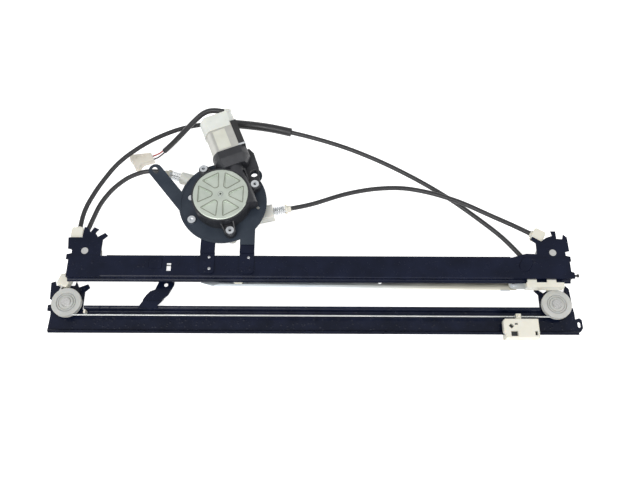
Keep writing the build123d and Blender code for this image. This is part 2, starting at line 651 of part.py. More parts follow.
CLIP_START = 4.2          # past the pivot's head
CLIP_LENGTH = 9.5
with BuildPart() as bar_clip:
    with BuildSketch(bar_plane(BAR_Z)):
        with Locations((CLIP_START, BAR_OUTER - 1.2)):
            Rectangle(CLIP_LENGTH, BAR_WIDTH + 2.4, align=(Align.MIN, Align.MIN))
    extrude(amount=0.9)
    with BuildSketch(bar_plane(BAR_TOP + 0.4)):
        for edge in (BAR_OUTER - 1.2, BAR_OUTER + BAR_WIDTH + 0.2):
            with Locations((CLIP_START, edge)):
                Rectangle(CLIP_LENGTH, 1.0, align=(Align.MIN, Align.MIN))
    extrude(amount=BAR_SHEET + 0.4 + 0.9)
save(bar_clip, "bar_clip")

PLUG_X = BAR_LENGTH - 39.0
with BuildPart() as bar_plug:
    with BuildSketch(bar_plane(BAR_TOP + 3.2)):
        with Locations((PLUG_X, BAR_OUTER + 4.2)):
            RectangleRounded(9.0, 4.0, 1.2)
    extrude(amount=3.2)
    chamfer(bar_plug.faces().sort_by(Axis.Z)[-1].edges(), length=0.6)
save(bar_plug, "bar_plug")

# ---------------------------------------------------------------- motor plate
GEAR_SCREWS = [(-118.5, 54.0), (-63.0, 36.0), (-86.5, -17.5)]
HOUSING_SCREW = (-128.3, -2.0)
HOUSING_RIVET = (-131.0, 24.0)
SMALL_HOLE = (-59.5, 13.0)
arm_length = hypot(ARM_TIP[0] - ARM_ROOT[0], ARM_TIP[1] - ARM_ROOT[1])
arm_angle = degrees(Vector(1, 0, 0).get_signed_angle(
    Vector(ARM_ROOT[0] - ARM_TIP[0], ARM_ROOT[1] - ARM_TIP[1], 0), Vector(0, 0, 1)) * radians(1))
arm_middle = ((ARM_TIP[0] + ARM_ROOT[0]) / 2, (ARM_TIP[1] + ARM_ROOT[1]) / 2)
neck = motor_point(CENTRE_DISTANCE, CAN_START - 4, PLATE_Z)
can_foot = motor_point(CENTRE_DISTANCE, CAN_START - 1, PLATE_Z)
with BuildPart() as motor_plate:
    with BuildSketch(Plane.XY.offset(PLATE_Z)) as plate_sketch:
        with Locations(AXIS):
            Circle(PLATE_RADIUS)
        with Locations(Location((arm_middle[0], arm_middle[1], 0), (0, 0, arm_angle))):
            SlotCenterToCenter(arm_length, ARM_WIDTH)
        with Locations(PLATE_HOLE):
            Circle(PLATE_HOLE_RADIUS + 5.0)
        # tab over the right strap
        with BuildLine():
            Polyline(
                (STRAP_RIGHT_X - STRAP_WIDTH / 2, -10), (STRAP_RIGHT_X - STRAP_WIDTH / 2, -29),
                (STRAP_RIGHT_X + STRAP_WIDTH / 2, -29), (STRAP_RIGHT_X + STRAP_WIDTH / 2, -8),
                (-57.5, 0), (-70, 8), close=True,
            )
        make_face()
        with Locations(Location((ARM_TIP[0], ARM_TIP[1], 0), (0, 0, arm_angle))):
            SlotOverall(ARM_SLOT_LENGTH, 2 * ARM_SLOT_RADIUS, mode=Mode.SUBTRACT)
        with Locations(PLATE_HOLE):
            Circle(PLATE_HOLE_RADIUS, mode=Mode.SUBTRACT)
        with Locations(SMALL_HOLE):
            Circle(1.8, mode=Mode.SUBTRACT)
        with Locations(AXIS):
            Circle(HUB_RADIUS + 5.0, mode=Mode.SUBTRACT)
        with Locations(*GEAR_SCREWS, HOUSING_SCREW, HOUSING_RIVET):
            Circle(SCREW_RADIUS + THROUGH_FIT, mode=Mode.SUBTRACT)
        # straight edge that leaves room for the motor can
        with Locations(Location((can_foot.X, can_foot.Y, 0), (0, 0, MOTOR_TILT))):
            Rectangle(2 * CAN_RADIUS, 10, align=(Align.CENTER, Align.MIN), mode=Mode.SUBTRACT)
    extrude(amount=PLATE_SHEET)
    # pressed ring that stiffens the plate round the gear case
    with BuildSketch(Plane.XY.offset(PLATE_TOP_Z)):
        with Locations(AXIS):
            Circle(PLATE_RADIUS - 1.2)
            Circle(PLATE_RADIUS - 2.4, mode=Mode.SUBTRACT)
        with Locations((STRAP_RIGHT_X, -20)):
            Rectangle(60, 40, mode=Mode.SUBTRACT)
        with Locations(arm_middle, PLATE_HOLE, GEAR_SCREWS[0]):
            Circle(14.0, mode=Mode.SUBTRACT)
        with Locations(Location((neck.X, neck.Y, 0), (0, 0, MOTOR_TILT))):
            Rectangle(2 * CAN_RADIUS + 8, 24, mode=Mode.SUBTRACT)
    extrude(amount=0.5)
save(motor_plate, "motor_plate")

STRAP_STEP_Y = UPPER.line + WEB_TOP + 4.0
for side, x in (("left", STRAP_LEFT_X), ("right", STRAP_RIGHT_X)):
    with BuildPart() as strap:
        with BuildSketch(Plane.XY.offset(UPPER_BACK_Z)):
            with Locations((x, (STRAP_FOOT_Y + STRAP_STEP_Y) / 2)):
                Rectangle(STRAP_WIDTH, STRAP_STEP_Y - STRAP_FOOT_Y)
        extrude(amount=PLATE_SHEET)
        with BuildSketch(Plane.XY.offset(UPPER_BACK_Z)):
            with Locations((x, STRAP_STEP_Y - PLATE_SHEET / 2)):
                Rectangle(STRAP_WIDTH, PLATE_SHEET)
        extrude(amount=2 * PLATE_SHEET)
        with BuildSketch(Plane.XY.offset(UPPER_BACK_Z + PLATE_SHEET)):
            with Locations((x, (STRAP_STEP_Y - PLATE_SHEET + STRAP_TOP_Y) / 2)):
                Rectangle(STRAP_WIDTH, STRAP_TOP_Y - STRAP_STEP_Y + PLATE_SHEET)
        extrude(amount=PLATE_SHEET)
        feet = strap.edges().filter_by(Axis.Z).group_by(Axis.Y)[0]
        fillet(feet, radius=3.5)
    save(strap, f"{side}_strap")

# ---------------------------------------------------------------- drum and its housing
LEFT_LEAD = Vector(-0.954, 0.3, 0).normalized()
RIGHT_LEAD = Vector(0.978, 0.208, 0).normalized()
LEFT_TANGENT = Vector(AXIS[0] + DRUM_GROOVE_RADIUS * LEFT_LEAD.Y,
                      AXIS[1] - DRUM_GROOVE_RADIUS * LEFT_LEAD.X, LEAD_Z)
LEFT_MOUTH = LEFT_TANGENT + LEFT_LEAD * 72.4
RIGHT_MOUTH = Vector(-44.6, 17.0, LEAD_Z)
HORN_RADIUS = 6.8
SPRING_LENGTH = 13.0
SPRING_RADIUS = 4.9
SPRING_WIRE = 0.7
LUG_HEIGHT = 12.0
with BuildPart() as drum_housing:
    with BuildSketch(Plane.XY):
        with Locations(AXIS):
            Circle(HOUSING_RADIUS)
    extrude(amount=PLATE_Z)
    with BuildSketch(Plane.XY.offset(PLATE_Z - LUG_HEIGHT)):
        with Locations(HOUSING_SCREW, GEAR_SCREWS[0], GEAR_SCREWS[2], GEAR_SCREWS[1]):
            Circle(SCREW_RADIUS + 3.0)
        for spot in (HOUSING_SCREW, *GEAR_SCREWS):
            with BuildLine():
                away = Vector(spot[0] - AXIS[0], spot[1] - AXIS[1], 0).normalized()
                edge = Vector(-away.Y, away.X, 0) * (SCREW_RADIUS + 1.0)
                near = Vector(AXIS[0], AXIS[1], 0) + away * (HOUSING_RADIUS - 3)
                far = Vector(spot[0], spot[1], 0)
                Polyline(near + edge, far + edge, far - edge, near - edge, close=True)
            make_face()
    extrude(amount=LUG_HEIGHT)
    # horns that hold the conduit ends
    with BuildSketch(Plane(origin=LEFT_TANGENT + LEFT_LEAD * 20.0, z_dir=LEFT_LEAD)):
        Circle(HORN_RADIUS + 1.0)
    with BuildSketch(Plane(origin=LEFT_MOUTH - LEFT_LEAD * SPRING_LENGTH, z_dir=LEFT_LEAD)):
        Circle(HORN_RADIUS)
    loft()
    with BuildSketch(Plane(origin=RIGHT_MOUTH - RIGHT_LEAD * 24.0, x_dir=(0, 0, 1), z_dir=RIGHT_LEAD)):
        with Locations((0, 1.25)):
            RectangleRounded(2 * HORN_RADIUS, 15.5, 2.0)
    extrude(amount=24.0)
    # drum chamber, open against the plate, and the cable's ways out
    with BuildSketch(Plane.XY.offset(HOUSING_WALL)):
        with Locations(AXIS):
            Circle(HOUSING_RADIUS - HOUSING_WALL)
    extrude(amount=PLATE_Z, mode=Mode.SUBTRACT)
    with BuildSketch(Plane(origin=LEFT_TANGENT + LEFT_LEAD * 12.0, z_dir=LEFT_LEAD)):
        Circle(CABLE_HOLE)
    extrude(amount=60.0, mode=Mode.SUBTRACT)
    with BuildSketch(Plane(origin=RIGHT_MOUTH - RIGHT_LEAD * 26.0, z_dir=RIGHT_LEAD)):
        Circle(CABLE_HOLE)
    extrude(amount=40.0, mode=Mode.SUBTRACT)
    for spot in (HOUSING_SCREW, *GEAR_SCREWS):
        with BuildSketch(Plane.XY.offset(PLATE_Z - LUG_HEIGHT)):
            with Locations(spot):
                Circle(SCREW_RADIUS)
        extrude(amount=LUG_HEIGHT, mode=Mode.SUBTRACT)
    # boss that holds the foot of the axle
    with BuildSketch(Plane.XY.offset(HOUSING_WALL)):
        with Locations(AXIS):
            Circle(AXLE_RADIUS - 1.5)
    extrude(amount=1.2)
save(drum_housing, "drum_housing")


def make_spring(mouth, lead):
    """Compression spring between a horn and the cap on the conduit's end."""
    with BuildPart() as spring:
        plane = Plane(origin=mouth, z_dir=lead)
        rings = 6
        pitch = SPRING_LENGTH / rings
        profile = []
        for ring in range(rings):
            profile += [(SPRING_RADIUS - 1.0, ring * pitch), (SPRING_RADIUS, (ring + 0.5) * pitch)]
        profile += [(SPRING_RADIUS - 1.0, SPRING_LENGTH)]
        inner = SPRING_RADIUS - 1.0 - 2 * SPRING_WIRE + 0.4
        side = Plane(origin=mouth, x_dir=plane.x_dir, z_dir=-plane.y_dir)
        with BuildSketch(side):
            with BuildLine():
                Polyline(*profile, (inner, SPRING_LENGTH), (inner, 0), close=True)
            make_face()
        revolve(axis=Axis(mouth, lead))
    return spring


def make_cap(mouth, lead):
    """Plastic cap pressed on the conduit's end, against the spring."""
    with BuildPart() as cap:
        with BuildSketch(Plane(origin=mouth + lead * SPRING_LENGTH, z_dir=lead)):
            Circle(SPRING_RADIUS + 0.4)
            Circle(CABLE_HOLE, mode=Mode.SUBTRACT)
        extrude(amount=2.2)
        with BuildSketch(Plane(origin=mouth + lead * (SPRING_LENGTH + 2.2), z_dir=lead)):
            Circle(CONDUIT_RADIUS + SEAT_FIT + SOCKET_MOUTH)
            Circle(CONDUIT_RADIUS + SEAT_FIT, mode=Mode.SUBTRACT)
        extrude(amount=4.0)
    return cap


LEFT_SPRING_MOUTH = LEFT_MOUTH - LEFT_LEAD * SPRING_LENGTH
for side, mouth, lead in (("left", LEFT_SPRING_MOUTH, LEFT_LEAD), ("right", RIGHT_MOUTH, RIGHT_LEAD)):
    save(make_spring(mouth, lead), f"{side}_tension_spring")
    save(make_cap(mouth, lead), f"{side}_conduit_cap")

DRUM_TOP = DRUM_FLOOR + DRUM_HEIGHT
GROOVE_DEPTH = 2.0
drum_rim = DRUM_GROOVE_RADIUS + GROOVE_DEPTH
groove_base = LEAD_Z - DRUM_PITCH * (DRUM_TURNS - 1) / 2
with BuildPart() as drum:
    with BuildSketch(Plane.XZ.offset(-AXIS[1])):
        profile = [(HUB_RADIUS + SHAFT_FIT, DRUM_FLOOR), (drum_rim, DRUM_FLOOR)]
        for turn_number in range(DRUM_TURNS):
            level = groove_base + turn_number * DRUM_PITCH
            profile += [
                (drum_rim, level - DRUM_PITCH / 2), (DRUM_GROOVE_RADIUS, level - 0.7),
                (DRUM_GROOVE_RADIUS, level + 0.7),
            ]
        profile += [(drum_rim, groove_base + (DRUM_TURNS - 0.5) * DRUM_PITCH)]
        profile += [(drum_rim, DRUM_TOP), (HUB_RADIUS + SHAFT_FIT, DRUM_TOP)]
        with BuildLine():
            Polyline(*[(AXIS[0] + r, z) for r, z in profile], close=True)
        make_face()
    revolve(axis=Axis((AXIS[0], AXIS[1], 0), (0, 0, 1)))
    # lightening pockets between the drum's spokes
    with BuildSketch(Plane.XY.offset(DRUM_FLOOR + 3)):
        with Locations(AXIS):
            with PolarLocations(14.6, 6):
                SlotOverall(9.0, 5.0, rotation=90)
    extrude(amount=DRUM_HEIGHT, mode=Mode.SUBTRACT)
save(drum, "cable_drum")

with BuildPart() as drum_cable:
    for turn_number in range(1, DRUM_TURNS - 1):
        level = groove_base + turn_number * DRUM_PITCH
        with BuildSketch(Plane.XZ.offset(-AXIS[1])):
            with Locations((AXIS[0] + DRUM_GROOVE_RADIUS + CABLE_RADIUS + 0.1, level)):
                RegularPolygon(CABLE_RADIUS, 6)
        revolve(axis=Axis((AXIS[0], AXIS[1], 0), (0, 0, 1)))
save(drum_cable, "drum_cable")

# ---------------------------------------------------------------- worm wheel, cushion, hub, axle
CUSHION_Z = WHEEL_FLOOR_Z + 2.4
VANE_COUNT = 3
VANE_WIDTH = 3.4
wheel_top = WHEEL_FLOOR_Z + WHEEL_HEIGHT
with BuildPart() as worm_wheel:
    with BuildSketch(Plane.XY.offset(WHEEL_FLOOR_Z)):
        with Locations(AXIS):
            Circle(WHEEL_TIP_RADIUS - WHEEL_TOOTH)
            with PolarLocations(WHEEL_TIP_RADIUS - WHEEL_TOOTH - 0.3, WHEEL_TEETH):
                Trapezoid(1.9, WHEEL_TOOTH + 0.3, 70, align=(Align.CENTER, Align.MIN), rotation=-90)
            Circle(CUSHION_RADIUS + SEAT_FIT, mode=Mode.SUBTRACT)
    extrude(amount=WHEEL_HEIGHT)
    with BuildSketch(Plane.XY.offset(wheel_top - 1.6)):
        with Locations(AXIS):
            Circle(CUSHION_RADIUS + 1)
            Circle(AXLE_RADIUS + SHAFT_FIT, mode=Mode.SUBTRACT)
    extrude(amount=1.6)
    with BuildSketch(Plane.XY.offset(CUSHION_Z)):
        with Locations(AXIS):
            with PolarLocations((CUSHION_RADIUS + 10) / 2, VANE_COUNT):
                Rectangle(CUSHION_RADIUS - 9, VANE_WIDTH)
    extrude(amount=wheel_top - 1.6 - CUSHION_Z)
save(worm_wheel, "worm_wheel")

with BuildPart() as drive_cushion:
    with BuildSketch(Plane.XY.offset(CUSHION_Z)):
        with Locations(AXIS):
            Circle(CUSHION_RADIUS - 0.2)
            Circle(HUB_RADIUS + 0.3, mode=Mode.SUBTRACT)
            with PolarLocations(CUSHION_RADIUS - 3, 2 * VANE_COUNT):
                Rectangle(12, VANE_WIDTH + 0.4, mode=Mode.SUBTRACT)
    extrude(amount=wheel_top - 1.9 - CUSHION_Z)
save(drive_cushion, "drive_cushion")

with BuildPart() as output_hub:
    with BuildSketch(Plane.XY.offset(WHEEL_FLOOR_Z)):
        with Locations(AXIS):
            Circle(CUSHION_RADIUS)
    extrude(amount=2.1)
    with BuildSketch(Plane.XY.offset(WHEEL_FLOOR_Z + 2.1)):
        with Locations(AXIS):
            with PolarLocations((CUSHION_RADIUS + HUB_RADIUS) / 2, VANE_COUNT, start_angle=60):
                Rectangle(CUSHION_RADIUS - HUB_RADIUS - 0.4, VANE_WIDTH)
            Circle(HUB_RADIUS)
    extrude(amount=wheel_top - 1.9 - WHEEL_FLOOR_Z - 2.1)
    with BuildSketch(Plane.XY.offset(DRUM_FLOOR)):
        with Locations(AXIS):
            Circle(HUB_RADIUS)
    extrude(amount=WHEEL_FLOOR_Z - DRUM_FLOOR)
    with BuildSketch(Plane.XY.offset(DRUM_FLOOR)):
        with Locations(AXIS):
            Circle(AXLE_RADIUS + SHAFT_FIT)
    extrude(amount=wheel_top, mode=Mode.SUBTRACT)
save(output_hub, "output_hub")

AXLE_TOP_Z = GEAR_CASE_TOP_Z - 1.6
with BuildPart() as wheel_axle:
    with BuildSketch(Plane.XY.offset(HOUSING_WALL + 1.2)):
        with Locations(AXIS):
            Circle(AXLE_RADIUS)
    extrude(amount=AXLE_TOP_Z - HOUSING_WALL - 1.2)
save(wheel_axle, "wheel_axle")

# ---------------------------------------------------------------- gear case and cover
NECK_START = 27.0
NECK_WALL = 1.6
WING_HEIGHT = 6.0
WING_HOLE_RADIUS = PLATE_HOLE_RADIUS + 1.0
WING_OUTLINE = [(-83, 62), (-78, 78.5), (-71.5, 81), (-66, 75.5), (-60, 58), (-58.4, 43), (-66, 36), (-80, 45)]
COVER_Z = GEAR_CASE_TOP_Z - 1.6
LUG_TOP_Z = PLATE_TOP_Z + 8.0


def can_section(grow=0.0):
    """Cross-section of the motor can, a circle with two flats."""
    Circle(CAN_RADIUS + grow)
    Rectangle(4 * CAN_RADIUS, 2 * (CAN_FLAT + grow), mode=Mode.INTERSECT)


# outer form of the case, before its chambers are cut
with BuildPart() as case_form:
    with BuildSketch(Plane.XY.offset(PLATE_TOP_Z)):
        with Locations(AXIS):
            Circle(GEAR_CASE_RADIUS)
    extrude(amount=GEAR_CASE_TOP_Z - PLATE_TOP_Z)
    # worm tunnel beside the wheel
    with BuildSketch(motor_plane(-20.0)):
        Circle(8.6)
        with Locations((0, -4.5)):
            Rectangle(17.2, 9.0)
    extrude(amount=NECK_START + 22.0)
    # neck that widens to the can's mouth
    with BuildSketch(motor_plane(NECK_START)):
        can_section(-4.0)
    with BuildSketch(motor_plane(NECK_START + 8)):
        can_section(NECK_WALL)
    loft()
    with BuildSketch(motor_plane(NECK_START + 8)):
        can_section(NECK_WALL)
    extrude(amount=CAN_START - NECK_START - 8)
    # screw lugs
    with BuildSketch(Plane.XY.offset(PLATE_TOP_Z)):
        with Locations(*GEAR_SCREWS):
            Circle(SCREW_HEAD + 1.2)
        for spot in GEAR_SCREWS:
            with BuildLine():
                away = Vector(spot[0] - AXIS[0], spot[1] - AXIS[1], 0).normalized()
                edge = Vector(-away.Y, away.X, 0) * (SCREW_HEAD + 1.2)
                near = Vector(AXIS[0], AXIS[1], 0) + away * (GEAR_CASE_RADIUS - 6)
                far = Vector(spot[0], spot[1], 0)
                Polyline(near + edge * 1.5, far + edge, far - edge, near - edge * 1.5, close=True)
            make_face()
    extrude(amount=LUG_TOP_Z - PLATE_TOP_Z)
    # nothing of the case reaches below the plate's top face
    with BuildSketch(Plane.XY.offset(PLATE_TOP_Z)):
        with Locations(AXIS):
            Rectangle(200, 200)
    extrude(amount=-40, mode=Mode.SUBTRACT)

with BuildPart() as gear_case:
    add(case_form.part)
    # wheel chamber, cover seat, hub bore, worm bore and the room for the commutator
    with BuildSketch(Plane.XY.offset(WHEEL_FLOOR_Z - RUNNING_GAP)):
        with Locations(AXIS):
            Circle(WHEEL_TIP_RADIUS + 1.2)
    extrude(amount=30, mode=Mode.SUBTRACT)
    with BuildSketch(Plane.XY.offset(COVER_Z)):
        with Locations(AXIS):
            Circle(COVER_RADIUS + SHAFT_FIT)
    extrude(amount=30, mode=Mode.SUBTRACT)
    with BuildSketch(Plane.XY.offset(PLATE_TOP_Z)):
        with Locations(AXIS):
            Circle(HUB_RADIUS + SHAFT_FIT)
    extrude(amount=10, mode=Mode.SUBTRACT)
    with BuildSketch(motor_plane(-16.0)):
        Circle(WORM_RADIUS + 0.5)
    extrude(amount=CAN_START + 20, mode=Mode.SUBTRACT)
    with BuildSketch(motor_plane(NECK_START + 9)):
        Circle(9.0)
    extrude(amount=20, mode=Mode.SUBTRACT)
    with BuildSketch(Plane.XY.offset(PLATE_TOP_Z)):
        with Locations(*GEAR_SCREWS):
            Circle(SCREW_RADIUS + SEAT_FIT)
    extrude(amount=10, mode=Mode.SUBTRACT)
save(gear_case, "gear_case")

# wing beside the neck, over the plate's lobe, with a hole that clears the plate's
with BuildPart() as case_wing:
    with BuildSketch(Plane.XY.offset(PLATE_TOP_Z)):
        with BuildLine():
            Polyline(*WING_OUTLINE, close=True)
        make_face()
        with Locations(PLATE_HOLE):
            Circle(WING_HOLE_RADIUS, mode=Mode.SUBTRACT)
    extrude(amount=WING_HEIGHT)
    with BuildSketch(motor_plane(CAN_START)):
        can_section(RUNNING_GAP)
    extrude(amount=CAN_RADIUS, mode=Mode.SUBTRACT)
    add(case_form.part, mode=Mode.SUBTRACT)
save(case_wing, "case_wing")

POCKET_COUNT = 6
with BuildPart() as gear_cover:
    with BuildSketch(Plane.XY.offset(COVER_Z)):
        with Locations(AXIS):
            Circle(COVER_RADIUS)
    extrude(amount=COVER_THICKNESS)
    cover_top = gear_cover.faces().sort_by(Axis.Z)[-1]
    fillet(cover_top.edges(), radius=1.0)
    with BuildSketch(Plane.XY.offset(COVER_Z + COVER_THICKNESS)) as pockets:
        with Locations(AXIS):
            with PolarLocations(16.0, POCKET_COUNT):
                Trapezoid(18.0, 14.0, 60, align=(Align.CENTER, Align.CENTER), rotation=90)
        fillet(pockets.vertices(), radius=1.2)
    extrude(amount=-1.2, taper=20, mode=Mode.SUBTRACT)
    with BuildSketch(Plane.XY.offset(COVER_Z + COVER_THICKNESS)):
        with Locations(AXIS):
            Circle(2.4)
    extrude(amount=0.5)
    with BuildSketch(Plane.XY.offset(COVER_Z + COVER_THICKNESS + 0.5)):
        with Locations(AXIS):
            Circle(1.1)
    extrude(amount=-1.4, mode=Mode.SUBTRACT)
save(gear_cover, "gear_cover")

# ---------------------------------------------------------------- motor
with BuildPart() as motor_can:
    with BuildSketch(motor_plane(CAN_START)):
        can_section()
    extrude(amount=CAN_LENGTH)
    end_face = motor_can.faces().sort_by(Axis(motor_point(0, 0, 0), MOTOR_AXIS))[-1]
    chamfer(end_face.edges(), length=2.0)
    with BuildSketch(motor_plane(CAN_START + CAN_LENGTH)):
        Circle(6.5)
    extrude(amount=3.0)
    with BuildSketch(motor_plane(CAN_START)):
        can_section(-CAN_WALL)
    extrude(amount=CAN_LENGTH - CAN_WALL, mode=Mode.SUBTRACT)
    with BuildSketch(motor_plane(CAN_START + CAN_LENGTH - CAN_WALL)):
        Circle(5.0)
    extrude(amount=3.0, mode=Mode.SUBTRACT)
save(motor_can, "motor_can")

DUCT_START = CAN_START + RUNNING_GAP
DUCT_LENGTH = 32.4
DUCT_ACROSS = 15.2        # its middle from the can's axis, sideways and up
DUCT_UP = 9.4
DUCT_WIDTH = 7.0
DUCT_HEIGHT = 8.0
END_CAP_START = CAN_START + 28.0
END_CAP_WALL = 0.9
END_CAP_FACE = 1.0
LEAD_START = Vector(-98.5, 120.3, 50.0)
LEAD_HEADING = Vector(-0.975, 0.222, 0).normalized()
GROMMET_RADIUS = HARNESS_RADIUS + 1.2
GROMMET_LENGTH = 6.0
with BuildPart() as can_end_cap:
    with BuildSketch(motor_plane(END_CAP_START)):
        can_section(END_CAP_WALL)
    extrude(amount=CAN_START + CAN_LENGTH + END_CAP_FACE - END_CAP_START)
    end_face = can_end_cap.faces().sort_by(Axis(motor_point(0, 0, 0), MOTOR_AXIS))[-1]
    chamfer(end_face.edges(), length=0.6)
    # grommet that the leads come out of
    with BuildSketch(Plane(origin=LEAD_START, z_dir=LEAD_HEADING)):
        Circle(GROMMET_RADIUS)
    extrude(amount=-GROMMET_LENGTH)
    with BuildSketch(motor_plane(END_CAP_START)):
        can_section(SHAFT_FIT)
    extrude(amount=CAN_START + CAN_LENGTH + SHAFT_FIT - END_CAP_START, mode=Mode.SUBTRACT)
    with BuildSketch(motor_plane(END_CAP_START)):
        Circle(6.5 + SHAFT_FIT)
    extrude(amount=CAN_LENGTH, mode=Mode.SUBTRACT)
    # notch for the end of the duct
    with BuildSketch(motor_plane(END_CAP_START)):
        with Locations((-DUCT_ACROSS, DUCT_UP + 2)):
            Rectangle(DUCT_WIDTH + 2 * RUNNING_GAP, DUCT_HEIGHT + 4 + 2 * RUNNING_GAP)
    extrude(amount=DUCT_START + DUCT_LENGTH + RUNNING_GAP - END_CAP_START, mode=Mode.SUBTRACT)
save(can_end_cap, "can_end_cap")

MAGNET_START = CAN_START + 13.0
MAGNET_LENGTH = 30.0
with BuildPart() as magnets:
    with BuildSketch(motor_plane(MAGNET_START)):
        Circle(CAN_RADIUS - CAN_WALL - 0.1)
        Circle(ARMATURE_RADIUS + 0.8, mode=Mode.SUBTRACT)
        Rectangle(60, 2 * 9.5, mode=Mode.INTERSECT)
    extrude(amount=MAGNET_LENGTH)
save(magnets, "magnets")

BRUSH_START = CAN_START + 1.0
with BuildPart() as brush_holder:
    with BuildSketch(motor_plane(BRUSH_START)):
        can_section(-CAN_WALL - SEAT_FIT)
        Circle(8.4, mode=Mode.SUBTRACT)
    extrude(amount=2.0)
    with BuildSketch(motor_plane(BRUSH_START + 2.0)):
        with GridLocations(22.0, 0, 2, 1):
            Rectangle(6.0, 7.4)
            Rectangle(6.0, 4.4, mode=Mode.SUBTRACT)
    extrude(amount=5.0)
save(brush_holder, "brush_holder")

COMMUTATOR_RADIUS = 6.2
with BuildPart() as brushes:
    with BuildSketch(motor_plane(BRUSH_START + 2.0)):
        for side in (-1, 1):
            with Locations((side * (COMMUTATOR_RADIUS + RUNNING_GAP), 0)):
                edge = Align.MIN if side > 0 else Align.MAX
                Rectangle(6.8, 4.1, align=(edge, Align.CENTER))
    extrude(amount=4.6)
save(brushes, "brushes")

with BuildPart() as armature_shaft:
    with BuildSketch(motor_plane(-14.0)):
        Circle(MOTOR_SHAFT_RADIUS)
    extrude(amount=CAN_START + CAN_LENGTH + 14.0)
    # worm thread as rings at the worm's pitch
    with BuildSketch(Plane(origin=motor_point(CENTRE_DISTANCE, 0, MOTOR_Z), x_dir=MOTOR_AXIS, z_dir=(0, 0, 1))):
        rings = 7
        first = -WORM_PITCH * (rings - 1) / 2
        profile = [(first - WORM_PITCH, 0), (first - WORM_PITCH, WORM_RADIUS - 1.2)]
        for ring in range(rings):
            middle = first + ring * WORM_PITCH
            profile += [
                (middle - 1.0, WORM_RADIUS - 1.2), (middle - 0.4, WORM_RADIUS),
                (middle + 0.4, WORM_RADIUS), (middle + 1.0, WORM_RADIUS - 1.2),
            ]
        profile += [(-first + WORM_PITCH, WORM_RADIUS - 1.2), (-first + WORM_PITCH, 0)]
        with BuildLine():
            Polyline(*profile, close=True)
        make_face()
    revolve(axis=Axis(motor_point(CENTRE_DISTANCE, 0, MOTOR_Z), MOTOR_AXIS))
save(armature_shaft, "armature_shaft")

CORE_START = MAGNET_START + 2.0
SLOT_COUNT = 8
with BuildPart() as armature_core:
    with BuildSketch(motor_plane(CORE_START)):
        Circle(ARMATURE_RADIUS)
        Circle(MOTOR_SHAFT_RADIUS, mode=Mode.SUBTRACT)
        with PolarLocations(ARMATURE_RADIUS - 1.6, SLOT_COUNT):
            Rectangle(5.0, 1.6, mode=Mode.SUBTRACT)
    extrude(amount=MAGNET_LENGTH - 4.0)
save(armature_core, "armature_core")

with BuildPart() as commutator:
    with BuildSketch(motor_plane(BRUSH_START)):
        Circle(COMMUTATOR_RADIUS)
        Circle(MOTOR_SHAFT_RADIUS, mode=Mode.SUBTRACT)
        with PolarLocations(COMMUTATOR_RADIUS, SLOT_COUNT):
            Rectangle(1.0, 0.6, mode=Mode.SUBTRACT)
    extrude(amount=9.0)
save(commutator, "commutator")

BUSH_START = 28.0
with BuildPart() as shaft_bushes:
    with BuildSketch(motor_plane(BUSH_START)):
        Circle(WORM_RADIUS + 0.5)
        Circle(MOTOR_SHAFT_RADIUS + SHAFT_FIT, mode=Mode.SUBTRACT)
    extrude(amount=6.0)
    with BuildSketch(motor_plane(CAN_START + CAN_LENGTH - CAN_WALL)):
        Circle(5.0)
        Circle(MOTOR_SHAFT_RADIUS + SHAFT_FIT, mode=Mode.SUBTRACT)
    extrude(amount=3.0)
save(shaft_bushes, "shaft_bushes")

# black duct that carries the leads along the can's side
with BuildPart() as wire_duct:
    with BuildSketch(motor_plane(DUCT_START)):
        with Locations((-DUCT_ACROSS, DUCT_UP)):
            Rectangle(DUCT_WIDTH, DUCT_HEIGHT)
        Circle(CAN_RADIUS + SHAFT_FIT, mode=Mode.SUBTRACT)
    extrude(amount=DUCT_LENGTH)
save(wire_duct, "wire_duct")

# ---------------------------------------------------------------- screws and small fasteners
# three through the case's lugs and one straight on the plate
with BuildPart() as housing_screws:
    for spot in GEAR_SCREWS + [HOUSING_SCREW]:
        seat_z = PLATE_TOP_Z if spot == HOUSING_SCREW else LUG_TOP_Z
        with BuildSketch(Plane.XY.offset(seat_z)):
            with Locations(spot):
                Circle(SCREW_HEAD)
                RegularPolygon(1.9, 6, mode=Mode.SUBTRACT)
        extrude(amount=2.6)
        with BuildSketch(Plane.XY.offset(seat_z)):
            with Locations(spot):
                Circle(SCREW_HEAD)
        extrude(amount=1.0)
        with BuildSketch(Plane.XY.offset(PLATE_Z - LUG_HEIGHT)):
            with Locations(spot):
                Circle(SCREW_RADIUS)
        extrude(amount=seat_z - PLATE_Z + LUG_HEIGHT)
save(housing_screws, "housing_screws")

with BuildPart() as plate_rivet:
    with BuildSketch(Plane.XY.offset(PLATE_TOP_Z)):
        with Locations(HOUSING_RIVET):
            Circle(SCREW_RADIUS + 0.8)
    extrude(amount=0.9)
    with BuildSketch(Plane.XY.offset(PLATE_Z - 0.9)):
        with Locations(HOUSING_RIVET):
            Circle(SCREW_RADIUS)
    extrude(amount=PLATE_SHEET + 0.9)
save(plate_rivet, "plate_rivet")

# plug in the upper rail's ear
with BuildPart() as ear_plug:
    ear = (UPPER.right + 19.6, UPPER.line - 25.2, UPPER.back - SHEET / 2)
    with BuildSketch(Plane(origin=ear, z_dir=(1, 0, 0))):
        Circle(1.1)
    extrude(amount=2.2)
    with BuildSketch(Plane(origin=Vector(*ear) + Vector(2.2, 0, 0), z_dir=(1, 0, 0))):
        Circle(1.8)
    extrude(amount=1.6)
save(ear_plug, "ear_plug")


